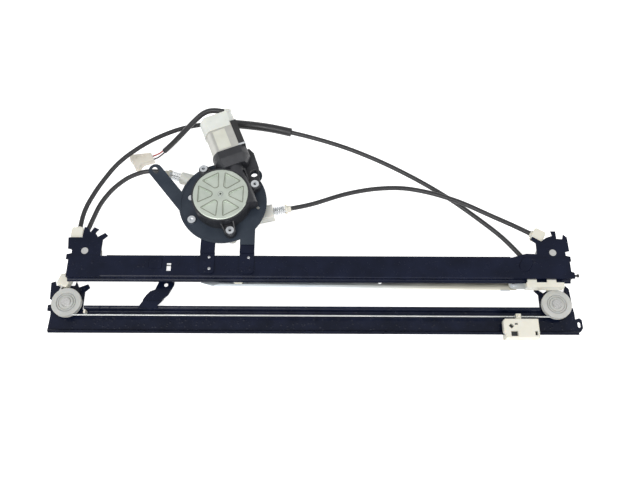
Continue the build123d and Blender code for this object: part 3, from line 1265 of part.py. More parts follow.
# ---------------------------------------------------------------- cords
def fillet_radii(points):
    """Radius at each inner point: 0.45 of its shorter run over tan of half the turn."""
    radii = []
    for before, here, after in zip(points, points[1:], points[2:]):
        first, second = here - before, after - here
        half_turn = radians(first.get_angle(second)) / 2
        radii.append(0.45 * min(first.length, second.length) / tan(half_turn))
    return radii


def make_tube(name, route, radius, bore=0.0, radii=None):
    """Tube of straight runs and tangent arcs through a route's points."""
    points = [Vector(*point) for point in route]
    radii = radii or fillet_radii(points)
    with BuildPart() as tube:
        with BuildLine() as path:
            FilletPolyline(*points, radius=radii)
        with BuildSketch(Plane(origin=points[0], z_dir=points[1] - points[0])):
            Circle(radius)
            if bore:
                Circle(bore, mode=Mode.SUBTRACT)
        sweep(path=path.wires()[0])
    expected = path.wires()[0].length * pi * (radius**2 - bore**2)
    print(f"{name}: length {path.wires()[0].length:.1f}, least radius {min(radii):.1f},"
          f" volume over section times length {tube.part.volume / expected:.4f}")
    save(tube, name)


def seat_end(corner, distance):
    """Route point on a seat's line, as a plain tuple."""
    point = seat_point(corner, distance)
    return (point.X, point.Y, point.Z)


def lead_end(mouth, lead, distance):
    """Route point on a spring's line beyond its cap."""
    point = mouth + lead * (SPRING_LENGTH + 2.2 + distance)
    return (point.X, point.Y, point.Z)


SLEEVE_RADIUS = 4.8
SLEEVE_CORNERS = [(-72, 122.5, 19.5), (-48, 119, 19)]    # under the rubber sleeve
CROSS_CONDUIT = [
    seat_end("upper_left", SOCKET_FLOOR),
    seat_end("upper_left", SOCKET_FLOOR + 28),
    (-237, 40, 20.5), (-218, 74, 20), (-188, 100.5, 19.5), (-153, 118.5, 19.5),
    (-113, 126, 20), *SLEEVE_CORNERS, (-6, 109.5, 17), (36, 97, 14),
    (77, 79.7, 11), (117, 58, 8.5), (150, 36, 7.5), (178, 13, 7), (203, -9.2, 7),
    seat_end("lower_right", SOCKET_FLOOR + 24),
    seat_end("lower_right", SOCKET_FLOOR),
]
LEFT_CONDUIT = [
    lead_end(LEFT_SPRING_MOUTH, LEFT_LEAD, 0),
    lead_end(LEFT_SPRING_MOUTH, LEFT_LEAD, 12),
    (-189, 66.3, 13.5), (-207, 58.8, 13), (-223, 44.5, 12), (-234.5, 27, 10.5),
    (-242, 4, 9), (-248, -16, 8),
    seat_end("lower_left", SOCKET_FLOOR + 16),
    seat_end("lower_left", SOCKET_FLOOR),
]
RIGHT_CONDUIT = [
    lead_end(RIGHT_MOUTH, RIGHT_LEAD, 0),
    lead_end(RIGHT_MOUTH, RIGHT_LEAD, 26), (33, 38.5, 15), (64, 44.5, 16), (96, 45.5, 17), (127, 38.5, 18.5),
    (158, 27, 19.5), (188, 11, 20),
    seat_end("upper_right", SOCKET_FLOOR + 26),
    seat_end("upper_right", SOCKET_FLOOR),
]
make_tube("cross_conduit", CROSS_CONDUIT, CONDUIT_RADIUS)
first = CROSS_CONDUIT.index(SLEEVE_CORNERS[0])
last = CROSS_CONDUIT.index(SLEEVE_CORNERS[-1])
cross_points = [Vector(*point) for point in CROSS_CONDUIT]
sleeve_start = (cross_points[first - 1] + cross_points[first]) / 2
sleeve_finish = (cross_points[last] + cross_points[last + 1]) / 2
sleeve_route = [sleeve_start, *cross_points[first:last + 1], sleeve_finish]
sleeve_radii = fillet_radii(cross_points)[first - 1:last]
make_tube("conduit_sleeve", sleeve_route, SLEEVE_RADIUS, CONDUIT_RADIUS + SEAT_FIT, sleeve_radii)
make_tube("left_conduit", LEFT_CONDUIT, CONDUIT_RADIUS)
make_tube("right_conduit", RIGHT_CONDUIT, CONDUIT_RADIUS)


# motor leads: a sleeve from the end cap to two wires and a connector on the floor
WIRE_RADIUS = 0.8
first_bend = LEAD_START + LEAD_HEADING * 11.7
HARNESS = [
    (LEAD_START.X, LEAD_START.Y, LEAD_START.Z),
    (first_bend.X, first_bend.Y, first_bend.Z),
    (-122.1, 122.4, 46), (-133.4, 116.3, 38.2), (-145.2, 109.6, 28), (-156.2, 104.3, 17.6),
    (-165.3, 100.2, 9.6), (-171.7, 97, 5),
]
make_tube("harness_sleeve", HARNESS, HARNESS_RADIUS)
sleeve_end = Vector(*HARNESS[-1])
sleeve_heading = (sleeve_end - Vector(*HARNESS[-2])).normalized()
beside = sleeve_heading.cross(Vector(0, 0, 1)).normalized()
SOCKET_FACE = Vector(0.906, 0.423, 0)
for label, offset_side, socket in (("red_wire", 1.6, (-184.65, 90.7, 4)), ("black_wire", -1.6, (-182.85, 86.9, 4))):
    start = sleeve_end + beside * offset_side
    finish = Vector(*socket) + SOCKET_FACE * 0.1
    make_tube(label, [start, start + sleeve_heading * 5, finish + SOCKET_FACE * 5, finish], WIRE_RADIUS)

CONNECTOR_HEIGHT = 8.4
with BuildPart() as harness_connector:
    with BuildSketch(Plane.XY):
        with BuildLine():
            Polyline(
                (-210, 90.4), (-186, 93.6), (-181.5, 84), (-192.5, 80.4), (-196, 77.6),
                (-197.6, 72.6), (-202.4, 73.6), (-204.6, 79.6), (-208.6, 83.4), close=True,
            )
        make_face()
    extrude(amount=CONNECTOR_HEIGHT)
    chamfer(harness_connector.faces().sort_by(Axis.Z)[-1].edges(), length=0.8)
    with BuildSketch(Plane.XY.offset(CONNECTOR_HEIGHT)):
        with Locations(Location((-197, 87.4, 0), (0, 0, 8))):
            Rectangle(11.0, 3.6)
    extrude(amount=-1.2, mode=Mode.SUBTRACT)
save(harness_connector, "harness_connector")
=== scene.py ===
"""Looks of the window regulator: finishes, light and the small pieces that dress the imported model.

Metres throughout. Places are written in millimetres, as the parts are drawn: X along the rails, Y from the lower
rail to the motor, Z up from the floor. mm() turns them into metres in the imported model's frame.
"""

from math import atan2, cos, pi, radians, sin

import bmesh
import bpy
from mathutils import Matrix, Quaternion, Vector


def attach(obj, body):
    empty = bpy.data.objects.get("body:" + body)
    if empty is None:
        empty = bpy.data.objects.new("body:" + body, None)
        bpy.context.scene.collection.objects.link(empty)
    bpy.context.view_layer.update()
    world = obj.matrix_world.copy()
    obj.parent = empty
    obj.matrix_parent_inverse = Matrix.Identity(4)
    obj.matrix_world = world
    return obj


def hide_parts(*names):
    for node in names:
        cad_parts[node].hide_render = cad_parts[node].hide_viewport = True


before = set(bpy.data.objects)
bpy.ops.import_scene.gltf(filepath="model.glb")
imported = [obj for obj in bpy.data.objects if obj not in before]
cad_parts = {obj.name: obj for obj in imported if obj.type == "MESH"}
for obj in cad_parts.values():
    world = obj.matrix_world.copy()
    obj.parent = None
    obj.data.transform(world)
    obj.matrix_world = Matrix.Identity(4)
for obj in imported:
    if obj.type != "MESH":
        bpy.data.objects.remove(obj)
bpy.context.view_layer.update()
scene = bpy.context.scene


BOX_MIDDLE_Y = 3.7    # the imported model's origin in the drawing's Y


def mm(x, y, z):
    """A place drawn in millimetres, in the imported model's frame."""
    return Vector((x, y - BOX_MIDDLE_Y, z)) / 1000


# ---------------------------------------------------------------- camera
AIM = mm(6, -10, 0)
VIEW_ELEVATION = radians(67)
VIEW_DISTANCE = 0.760
VIEW_ROLL = radians(0.25)
camera_data = bpy.data.cameras.new("camera")
camera_data.sensor_width = 36
camera_data.lens = 39.375
camera = bpy.data.objects.new("camera", camera_data)
camera.location = AIM + VIEW_DISTANCE * Vector((0, -cos(VIEW_ELEVATION), sin(VIEW_ELEVATION)))
camera.rotation_mode = "QUATERNION"
camera.rotation_quaternion = Quaternion((1, 0, 0), pi / 2 - VIEW_ELEVATION) @ Quaternion((0, 0, 1), VIEW_ROLL)
scene.collection.objects.link(camera)
scene.camera = camera


# ---------------------------------------------------------------- shader groups
def new_group(name, inputs, outputs):
    """Empty shader group with named float, vector and colour sockets."""
    group = bpy.data.node_groups.new(name, "ShaderNodeTree")
    for label, kind, value in inputs:
        socket = group.interface.new_socket(label, in_out="INPUT", socket_type=kind)
        if value is not None:
            socket.default_value = value
    for label, kind in outputs:
        group.interface.new_socket(label, in_out="OUTPUT", socket_type=kind)
    return group, group.nodes.new("NodeGroupInput"), group.nodes.new("NodeGroupOutput")


def make_mottle():
    """Cloudy value between Low and High, for tone and gloss that vary over a surface."""
    group, given, result = new_group(
        "mottle",
        [("Vector", "NodeSocketVector", None), ("Scale", "NodeSocketFloat", 80.0), ("Detail", "NodeSocketFloat", 4.0),
         ("Low", "NodeSocketFloat", 0.0), ("High", "NodeSocketFloat", 1.0)],
        [("Value", "NodeSocketFloat")],
    )
    noise = group.nodes.new("ShaderNodeTexNoise")
    spread = group.nodes.new("ShaderNodeMapRange")
    spread.inputs["From Min"].default_value = 0.3
    spread.inputs["From Max"].default_value = 0.7
    group.links.new(given.outputs["Vector"], noise.inputs["Vector"])
    group.links.new(given.outputs["Scale"], noise.inputs["Scale"])
    group.links.new(given.outputs["Detail"], noise.inputs["Detail"])
    group.links.new(noise.outputs["Fac"], spread.inputs["Value"])
    group.links.new(given.outputs["Low"], spread.inputs["To Min"])
    group.links.new(given.outputs["High"], spread.inputs["To Max"])
    group.links.new(spread.outputs["Result"], result.inputs["Value"])
    return group


def make_specks():
    """Mask of scattered spots, each up to Size of its cell, thinned out by Share."""
    group, given, result = new_group(
        "specks",
        [("Vector", "NodeSocketVector", None), ("Scale", "NodeSocketFloat", 500.0), ("Size", "NodeSocketFloat", 0.3),
         ("Share", "NodeSocketFloat", 0.3)],
        [("Mask", "NodeSocketFloat")],
    )
    cells = group.nodes.new("ShaderNodeTexVoronoi")
    inside = group.nodes.new("ShaderNodeMapRange")
    inside.interpolation_type = "SMOOTHSTEP"
    inside.inputs["To Min"].default_value = 1.0
    inside.inputs["To Max"].default_value = 0.0
    red = group.nodes.new("ShaderNodeSeparateColor")
    chosen = group.nodes.new("ShaderNodeMath")
    chosen.operation = "LESS_THAN"
    both = group.nodes.new("ShaderNodeMath")
    both.operation = "MULTIPLY"
    group.links.new(given.outputs["Vector"], cells.inputs["Vector"])
    group.links.new(given.outputs["Scale"], cells.inputs["Scale"])
    group.links.new(cells.outputs["Distance"], inside.inputs["Value"])
    group.links.new(given.outputs["Size"], inside.inputs["From Max"])
    group.links.new(cells.outputs["Color"], red.inputs["Color"])
    group.links.new(red.outputs["Red"], chosen.inputs[0])
    group.links.new(given.outputs["Share"], chosen.inputs[1])
    group.links.new(inside.outputs["Result"], both.inputs[0])
    group.links.new(chosen.outputs["Value"], both.inputs[1])
    group.links.new(both.outputs["Value"], result.inputs["Mask"])
    return group


MOTTLE = make_mottle()
SPECKS = make_specks()


class Surface:
    """A material being built: a Principled shader fed by mottled tone, gloss and grain."""

    def __init__(self, name, tones, gloss, metallic=0.0, coat=0.0, coat_roughness=0.05, stretch=(1, 1, 1)):
        self.material = bpy.data.materials.new(name)
        self.material.use_nodes = True
        self.tree = self.material.node_tree
        self.shader = self.tree.nodes["Principled BSDF"]
        self.shader.inputs["Metallic"].default_value = metallic
        self.shader.inputs["Coat Weight"].default_value = coat
        self.shader.inputs["Coat Roughness"].default_value = coat_roughness
        place = self.tree.nodes.new("ShaderNodeTexCoord")
        mapping = self.tree.nodes.new("ShaderNodeMapping")
        mapping.inputs["Scale"].default_value = stretch
        self.tree.links.new(place.outputs["Object"], mapping.inputs["Vector"])
        self.place = mapping.outputs["Vector"]
        blend = self.tree.nodes.new("ShaderNodeMix")
        blend.data_type = "RGBA"
        blend.inputs["A"].default_value = (*tones[0], 1)
        blend.inputs["B"].default_value = (*tones[1], 1)
        self.tree.links.new(self.mottle(60, 0, 1), blend.inputs["Factor"])
        self.colour = blend.outputs["Result"]
        self.roughness = self.mottle(110, gloss[0], gloss[1])
        self.height = None

    def mottle(self, scale, low, high, detail=4.0):
        """Output of a mottle group placed in this material."""
        group = self.tree.nodes.new("ShaderNodeGroup")
        group.node_tree = MOTTLE
        group.inputs["Scale"].default_value = scale
        group.inputs["Detail"].default_value = detail
        group.inputs["Low"].default_value = low
        group.inputs["High"].default_value = high
        self.tree.links.new(self.place, group.inputs["Vector"])
        return group.outputs["Value"]

    def specks(self, scale, size, share):
        """Output of a specks group placed in this material."""
        group = self.tree.nodes.new("ShaderNodeGroup")
        group.node_tree = SPECKS
        group.inputs["Scale"].default_value = scale
        group.inputs["Size"].default_value = size
        group.inputs["Share"].default_value = share
        self.tree.links.new(self.place, group.inputs["Vector"])
        return group.outputs["Mask"]

    def tint(self, mask, colour, strength=1.0):
        """Lays another colour over the tone where the mask is on."""
        amount = self.tree.nodes.new("ShaderNodeMath")
        amount.operation = "MULTIPLY"
        amount.inputs[1].default_value = strength
        self.tree.links.new(mask, amount.inputs[0])
        blend = self.tree.nodes.new("ShaderNodeMix")
        blend.data_type = "RGBA"
        blend.inputs["B"].default_value = (*colour, 1)
        self.tree.links.new(amount.outputs["Value"], blend.inputs["Factor"])
        self.tree.links.new(self.colour, blend.inputs["A"])
        self.colour = blend.outputs["Result"]

    def dull(self, mask, amount):
        """Adds to the roughness where the mask is on; a negative amount polishes."""
        add = self.tree.nodes.new("ShaderNodeMath")
        add.operation = "MULTIPLY_ADD"
        add.use_clamp = True
        add.inputs[1].default_value = amount
        self.tree.links.new(mask, add.inputs[0])
        self.tree.links.new(self.roughness, add.inputs[2])
        self.roughness = add.outputs["Value"]

    def raise_by(self, mask, amount):
        """Adds to the surface's height in metres where the mask is on."""
        add = self.tree.nodes.new("ShaderNodeMath")
        add.operation = "MULTIPLY_ADD"
        add.inputs[1].default_value = amount
        add.inputs[2].default_value = 0.0
        self.tree.links.new(mask, add.inputs[0])
        if self.height is not None:
            self.tree.links.new(self.height, add.inputs[2])
        self.height = add.outputs["Value"]

    def done(self):
        """Wires the layers into the shader."""
        self.tree.links.new(self.colour, self.shader.inputs["Base Color"])
        self.tree.links.new(self.roughness, self.shader.inputs["Roughness"])
        if self.height is not None:
            bump = self.tree.nodes.new("ShaderNodeBump")
            bump.inputs["Distance"].default_value = 1.0
            self.tree.links.new(self.height, bump.inputs["Height"])
            self.tree.links.new(bump.outputs["Normal"], self.shader.inputs["Normal"])
        return self.material


# ---------------------------------------------------------------- finishes
def enamel(name, tones, gloss):
    """Glossy dipped paint with orange peel and a few dust specks."""
    surface = Surface(name, tones, gloss, coat=0.05, coat_roughness=0.12)
    surface.shader.inputs["Specular IOR Level"].default_value = 0.16
    surface.raise_by(surface.mottle(700, 0, 1), 0.00003)
    dust = surface.specks(900, 0.22, 0.10)
    surface.tint(dust, (0.25, 0.26, 0.28), 0.35)
    surface.dull(dust, 0.3)
    return surface


def make_rail_enamel():
    return enamel("rail_enamel", ((0.002, 0.004, 0.014), (0.005, 0.008, 0.024)), (0.14, 0.30)).done()


def make_plate_enamel():
    return enamel("plate_enamel", ((0.024, 0.032, 0.046), (0.036, 0.046, 0.062)), (0.30, 0.45)).done()


def make_greasy_enamel():
    """Rail paint under smears and beads of grease."""
    surface = enamel("greasy_enamel", ((0.003, 0.005, 0.014), (0.007, 0.010, 0.026)), (0.10, 0.28))
    beads = surface.specks(330, 0.42, 0.45)
    surface.raise_by(beads, 0.0004)
    surface.dull(beads, -0.12)
    film = surface.mottle(180, 0, 1, detail=8)
    surface.raise_by(film, 0.00012)
    return surface.done()


def make_cast_black():
    surface = Surface("cast_black", ((0.010, 0.011, 0.014), (0.022, 0.023, 0.028)), (0.32, 0.5))
    surface.raise_by(surface.mottle(1400, 0, 1, detail=6), 0.00006)
    dust = surface.specks(1100, 0.25, 0.12)
    surface.tint(dust, (0.30, 0.30, 0.31), 0.3)
    return surface.done()


def make_moulded_black():
    surface = Surface("moulded_black", ((0.010, 0.010, 0.011), (0.020, 0.020, 0.022)), (0.38, 0.55))
    surface.raise_by(surface.mottle(2200, 0, 1), 0.00003)
    return surface.done()


def make_acetal(name, tones):
    """Natural moulded plastic, waxy, with light passing a little way in."""
    surface = Surface(name, tones, (0.28, 0.42))
    surface.shader.inputs["Subsurface Weight"].default_value = 0.25
    surface.shader.inputs["Subsurface Radius"].default_value = (0.004, 0.003, 0.002)
    surface.shader.inputs["Subsurface Scale"].default_value = 0.5
    surface.raise_by(surface.mottle(1200, 0, 1), 0.00003)
    marks = surface.specks(260, 0.25, 0.15)
    surface.tint(marks, (0.35, 0.32, 0.26), 0.25)
    return surface.done()


def make_metal(name, tones, gloss, stretch=(1, 1, 1), grain=0.00003):
    """Bare or plated metal with a drawn or rolled grain."""
    surface = Surface(name, tones, gloss, metallic=1.0, stretch=stretch)
    surface.raise_by(surface.mottle(1500, 0, 1, detail=6), grain)
    spots = surface.specks(420, 0.3, 0.2)
    surface.tint(spots, tuple(0.6 * tone for tone in tones[0]), 0.4)
    surface.dull(spots, 0.12)
    return surface.done()


def make_conduit_cover():
    surface = Surface("conduit_cover", ((0.010, 0.010, 0.012), (0.020, 0.020, 0.022)), (0.30, 0.45))
    surface.raise_by(surface.mottle(1500, 0, 1), 0.00004)
    return surface.done()


def make_stranded(name, tones):
    """Wire rope: strands as fine slanting bands."""
    surface = Surface(name, tones, (0.3, 0.5), metallic=1.0)
    wave = surface.tree.nodes.new("ShaderNodeTexWave")
    wave.bands_direction = "DIAGONAL"
    wave.inputs["Scale"].default_value = 380
    surface.tree.links.new(surface.place, wave.inputs["Vector"])
    surface.raise_by(wave.outputs["Fac"], 0.0001)
    surface.tint(wave.outputs["Fac"], tuple(0.35 * tone for tone in tones[0]), 0.6)
    return surface.done()


def make_bar_plate_with_painted_highlight():
    """Plated strip whose colour runs from a painted highlight, pale and bluish at the motor's end, to a darker tawny
    towards the slider.
    """
    surface = Surface("bar_plate_painted_highlight", ((0.62, 0.68, 0.73), (0.76, 0.81, 0.84)), (0.3, 0.45), metallic=1.0,
                      stretch=(0.25, 1, 1))
    surface.raise_by(surface.mottle(1500, 0, 1, detail=6), 0.00003)
    apart = surface.tree.nodes.new("ShaderNodeSeparateXYZ")
    surface.tree.links.new(surface.place, apart.inputs["Vector"])
    along = surface.tree.nodes.new("ShaderNodeMapRange")
    along.inputs["From Min"].default_value = 0.0
    along.inputs["From Max"].default_value = 0.035
    surface.tree.links.new(apart.outputs["X"], along.inputs["Value"])
    # painted fall-off of the highlight: the tint to a darker tawny grows along the bar
    surface.tint(along.outputs["Result"], (0.55, 0.50, 0.36), 0.7)
    return surface.done()


FINISH = {
    "rail": make_rail_enamel(),
    "plate": make_plate_enamel(),
    "greasy": make_greasy_enamel(),
    "cast": make_cast_black(),
    "moulded": make_moulded_black(),
    "natural": make_acetal("natural_acetal", ((0.66, 0.64, 0.55), (0.74, 0.72, 0.64))),
    "pulley": make_acetal("pulley_acetal", ((0.42, 0.43, 0.41), (0.52, 0.52, 0.50))),
    "grey": make_acetal("grey_acetal", ((0.36, 0.38, 0.38), (0.44, 0.46, 0.46))),
    "housing": make_acetal("housing_acetal", ((0.60, 0.61, 0.57), (0.70, 0.70, 0.65))),
    "cap": make_acetal("cap_nylon", ((0.66, 0.68, 0.63), (0.74, 0.76, 0.71))),
    "can": make_metal("can_steel", ((0.50, 0.50, 0.47), (0.62, 0.62, 0.58)), (0.32, 0.48)),
    "cover": make_metal("cover_aluminium", ((0.50, 0.55, 0.49), (0.60, 0.65, 0.58)), (0.42, 0.58)),
    # darker aluminium for the cover's pocket lips: painted shade along the pocket outlines
    "rim": make_metal("rim_aluminium_painted_shade", ((0.22, 0.23, 0.19), (0.30, 0.31, 0.26)), (0.35, 0.5)),
    "zinc": make_metal("zinc_plate", ((0.60, 0.63, 0.66), (0.72, 0.74, 0.76)), (0.25, 0.42)),
    "steel": make_metal("bright_steel", ((0.55, 0.55, 0.54), (0.66, 0.66, 0.65)), (0.2, 0.35)),
    "bar": make_bar_plate_with_painted_highlight(),
    "cable": make_stranded("wire_rope", ((0.66, 0.68, 0.68), (0.80, 0.81, 0.80))),
    "conduit": make_conduit_cover(),
    "weld": make_metal("weld_steel", ((0.34, 0.35, 0.37), (0.50, 0.51, 0.53)), (0.2, 0.35)),
    "copper": make_metal("copper_winding", ((0.55, 0.25, 0.12), (0.66, 0.34, 0.18)), (0.3, 0.45)),
    "magnet": make_metal("magnet_block", ((0.10, 0.10, 0.10), (0.14, 0.14, 0.14)), (0.5, 0.65)),
    "connector": make_acetal("connector_nylon", ((0.70, 0.66, 0.58), (0.80, 0.76, 0.68))),
    "red": make_acetal("red_insulation", ((0.42, 0.03, 0.02), (0.55, 0.06, 0.04))),
    "label": make_acetal("blank_label", ((0.64, 0.63, 0.53), (0.72, 0.71, 0.61))),
}

NODE_FINISH = {
    "rail": ["upper_rail", "lower_brace", "left_strap", "right_strap"],
    "plate": ["motor_plate"],
    "greasy": ["lower_rail"],
    "cast": ["gear_case", "case_wing"],
    "moulded": ["wire_duct", "brush_holder", "ear_plug", "drive_cushion"],
    "cover": ["gear_cover"],
    "can": ["motor_can"],
    "pulley": [f"{corner}_pulley" for corner in ("lower_left", "lower_right", "upper_left", "upper_right")],
    "natural": [f"{corner}_conduit_seat" for corner in ("lower_left", "lower_right", "upper_left", "upper_right")]
    + ["lower_slider", "upper_slider", "cable_peg", "bar_plug", "left_conduit_cap", "right_conduit_cap",
       "cable_drum", "worm_wheel"],
    "grey": ["bar_tongue"],
    "housing": ["drum_housing"],
    "cap": ["can_end_cap"],
    "steel": ["pulley_rivets", "wheel_axle", "output_hub", "armature_shaft"],
    "zinc": ["housing_screws", "plate_rivet", "bar_pivot", "bar_clip", "left_tension_spring",
             "right_tension_spring"],
    "bar": ["lift_bar"],
    "cable": ["upper_cable", "lower_cable", "drum_cable"],
    "conduit": ["conduit_sleeve", "cross_conduit", "left_conduit", "right_conduit", "harness_sleeve", "black_wire"],
    "copper": ["armature_core", "commutator", "brushes", "shaft_bushes"],
    "magnet": ["magnets"],
    "connector": ["harness_connector"],
    "red": ["red_wire"],
}


def set_finish(piece, finish):
    """Gives a piece one finish all over."""
    piece.data.materials.clear()
    piece.data.materials.append(FINISH[finish])


for finish, nodes in NODE_FINISH.items():
    for node in nodes:
        set_finish(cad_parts[node], finish)


# ---------------------------------------------------------------- making pieces
def piece_from(shape, name, finish, body, smooth=False):
    """Turns a bmesh into a piece with a finish that rides on a body."""
    bmesh.ops.recalc_face_normals(shape, faces=shape.faces)
    mesh = bpy.data.meshes.new(name)
    shape.to_mesh(mesh)
    shape.free()
    if smooth:
        mesh.shade_smooth()
    piece = bpy.data.objects.new(name, mesh)
    scene.collection.objects.link(piece)
    set_finish(piece, finish)
    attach(piece, body)
    return piece


def lathe(name, profile, place, axis, finish, body, steps=40):
    """Piece turned about an axis at a place from a profile of radius against height, in millimetres."""
    shape = bmesh.new()
    points = [shape.verts.new((radius / 1000, 0, height / 1000)) for radius, height in profile]
    lines = [shape.edges.new(pair) for pair in zip(points, points[1:])]
    bmesh.ops.spin(shape, geom=points + lines, cent=(0, 0, 0), axis=(0, 0, 1), angle=2 * pi, steps=steps,
                   use_merge=True)
    bmesh.ops.remove_doubles(shape, verts=shape.verts, dist=1e-6)
    turn = Vector((0, 0, 1)).rotation_difference(Vector(axis)).to_matrix().to_4x4()
    bmesh.ops.transform(shape, matrix=Matrix.Translation(place) @ turn, verts=shape.verts)
    return piece_from(shape, name, finish, body, smooth=True)


def bar_between(name, start, finish_at, width, low, tops, finish, body, bevel=0.3):
    """Upright rib between two places in plan, with its own top height at each end, in millimetres."""
    run = Vector(finish_at) - Vector(start)
    turn = Matrix.Rotation(atan2(run.y, run.x), 4, "Z")
    stretch = Matrix.Diagonal((run.length / 1000, width / 1000, (tops[0] - low) / 1000, 1))
    shape = bmesh.new()
    bmesh.ops.create_cube(shape, size=1.0)
    bmesh.ops.translate(shape, verts=shape.verts, vec=(0.5, 0, 0.5))
    far_top = [corner for corner in shape.verts if corner.co.x > 0.5 and corner.co.z > 0.5]
    bmesh.ops.transform(shape, matrix=Matrix.Translation(mm(*start, low)) @ turn @ stretch, verts=shape.verts)
    bmesh.ops.translate(shape, verts=far_top, vec=(0, 0, (tops[1] - tops[0]) / 1000))
    bmesh.ops.bevel(shape, geom=list(shape.edges), offset=bevel / 1000, segments=2, profile=0.5,
                    affect="EDGES", material=-1)
    return piece_from(shape, name, finish, body)


def helix(name, start, axis, length, radius, wire, turns, finish, body):
    """Coil spring of round wire, in millimetres."""
    steps = turns * 24
    shape = bmesh.new()
    ring = bmesh.ops.create_circle(shape, segments=8, radius=wire / 1000)["verts"]
    bmesh.ops.rotate(shape, verts=ring, matrix=Matrix.Rotation(pi / 2, 3, "X"))
    bmesh.ops.translate(shape, verts=ring, vec=((radius - wire) / 1000, 0, wire / 1000))
    bmesh.ops.spin(shape, geom=list(shape.verts) + list(shape.edges), cent=(0, 0, 0), axis=(0, 0, 1),
                   dvec=(0, 0, (length - 2 * wire) / 1000 / steps), angle=2 * pi * turns, steps=steps)
    bmesh.ops.holes_fill(shape, edges=shape.edges, sides=8)
    turn = Vector((0, 0, 1)).rotation_difference(Vector(axis)).to_matrix().to_4x4()
    bmesh.ops.transform(shape, matrix=Matrix.Translation(start) @ turn, verts=shape.verts)
    return piece_from(shape, name, finish, body, smooth=True)


# ---------------------------------------------------------------- springs at the conduit ends
SPRING_LENGTH = 13.0
SPRINGS = {
    "left": (mm(-147.07, 57.81, 14), Vector((-0.954, 0.3, 0)).normalized()),
    "right": (mm(-44.6, 17, 14), Vector((0.978, 0.208, 0)).normalized()),
}
for side, (start, lead) in SPRINGS.items():
    coil = helix(f"{side}_coil", start, lead, SPRING_LENGTH, 4.9, 0.55, 6, "zinc", "frame")
    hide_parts(f"{side}_tension_spring")
    lathe(f"{side}_spring_cable", [(0, 0), (0.8, 0), (0.8, SPRING_LENGTH), (0, SPRING_LENGTH)], start, lead,
          "cable", "frame")

# ---------------------------------------------------------------- marks pressed in the rails and straps
UPPER_FACE = 28.0
STRAP_FACE = 29.5


def dome(name, x, y, z, radius, rise, finish):
    """Low round pip on an upward face."""
    profile = [(radius, -0.2), (radius, 0), (0.92 * radius, 0.45 * rise), (0.7 * radius, 0.8 * rise),
               (0.35 * radius, rise), (0, rise)]
    return lathe(name, profile, mm(x, y, z), (0, 0, 1), finish, "frame", steps=28)


PIPS = [
    ("left_strap_weld_top", -108.1, -42.1, STRAP_FACE, 1.5, 0.4, "weld"),
    ("left_strap_weld_foot", -107.3, -54.6, STRAP_FACE, 1.6, 0.4, "weld"),
    ("right_strap_weld_top", -67.4, -42.4, STRAP_FACE, 1.5, 0.4, "weld"),
    ("right_strap_weld_foot", -65.8, -54.9, STRAP_FACE, 1.6, 0.4, "rail"),
    ("left_strap_pip", -111.6, -57.0, STRAP_FACE, 1.4, 0.3, "rail"),
    ("right_strap_pip", -73.6, -56.6, STRAP_FACE, 1.4, 0.3, "rail"),
    ("left_strap_pip_top", -112.4, -47.0, STRAP_FACE, 1.3, 0.3, "rail"),
    ("right_strap_pip_top", -72.4, -47.2, STRAP_FACE, 1.3, 0.3, "rail"),
    ("rail_pip_a", -180.2, -51.5, UPPER_FACE, 1.5, 0.35, "rail"),
    ("rail_pip_b", -175.4, -51.5, UPPER_FACE, 1.5, 0.35, "rail"),
    ("rail_pip_c", -247.6, -48.8, UPPER_FACE, 1.6, 0.35, "rail"),
    ("rail_pip_d", -228.3, -47.6, UPPER_FACE, 1.6, 0.35, "rail"),
    ("rail_pip_e", -237.6, -54.2, UPPER_FACE, 1.6, 0.35, "rail"),
]
for pip in PIPS:
    dome(*pip)
lathe("oval_mark", [(1.3, -0.1), (1.6, 0.3), (2.3, 0.3), (2.6, -0.1)], mm(225.4, -44.3, UPPER_FACE), (0, 0, 1),
      "rail", "frame")

# ---------------------------------------------------------------- gear case ribs, label and duct clip
AXIS = Vector((-97.0, 19.0))
TILT = radians(21.8)
MOTOR_AXIS = Vector((-sin(TILT), cos(TILT)))
MOTOR_SIDE = Vector((cos(TILT), sin(TILT)))


def motor_place(across, along):
    """Plan place, in millimetres, by its distance across and along the motor from the wheel's centre."""
    return AXIS + MOTOR_SIDE * across + MOTOR_AXIS * along


CASE_FLOOR = 32.5
RIBS = [
    ("lug_rib_left", (-96.2, -10.2), (-90.6, -20.6), (46.0, 40.6)),
    ("lug_rib_right", (-83.4, -8.4), (-81.4, -18.6), (46.0, 40.6)),
    ("upper_lug_rib", (-113.0, 45.0), (-114.6, 53.2), (46.0, 41.0)),
    ("side_lug_rib_low", (-69.5, 31.2), (-62.6, 31.8), (45.0, 41.0)),
]
for name, start, end, tops in RIBS:
    bar_between(name, start, end, 1.5, CASE_FLOOR, tops, "cast", "frame")
bar_between("tunnel_rib", motor_place(33.0, 8.5), motor_place(33.0, 20.5), 1.3, 40.0, (47.5, 51.5), "cast", "frame")
label = bar_between("motor_label", motor_place(21.6, 46.5), motor_place(21.6, 70.0), 13.6, 57.9, (58.15, 58.15),
                    "label", "frame", bevel=0.1)
bar_between("duct_clip", motor_place(39.7, 44.6), motor_place(39.7, 46.8), 7.8, 49.6, (58.3, 58.3), "zinc", "frame")

# ---------------------------------------------------------------- cover rims in darker metal as painted shade, hub ring, and painted shade in the hub and screw sockets
COVER_FACE = 52.3
POCKET_PITCH_RADIUS = 16.0
POCKET_DEEP = 14.0
POCKET_WIDE = 18.0
POCKET_NARROW = 1.83
RIM_WIDTH = 0.7
RIM_RISE = 0.35
RIM_CORNER = 1.6


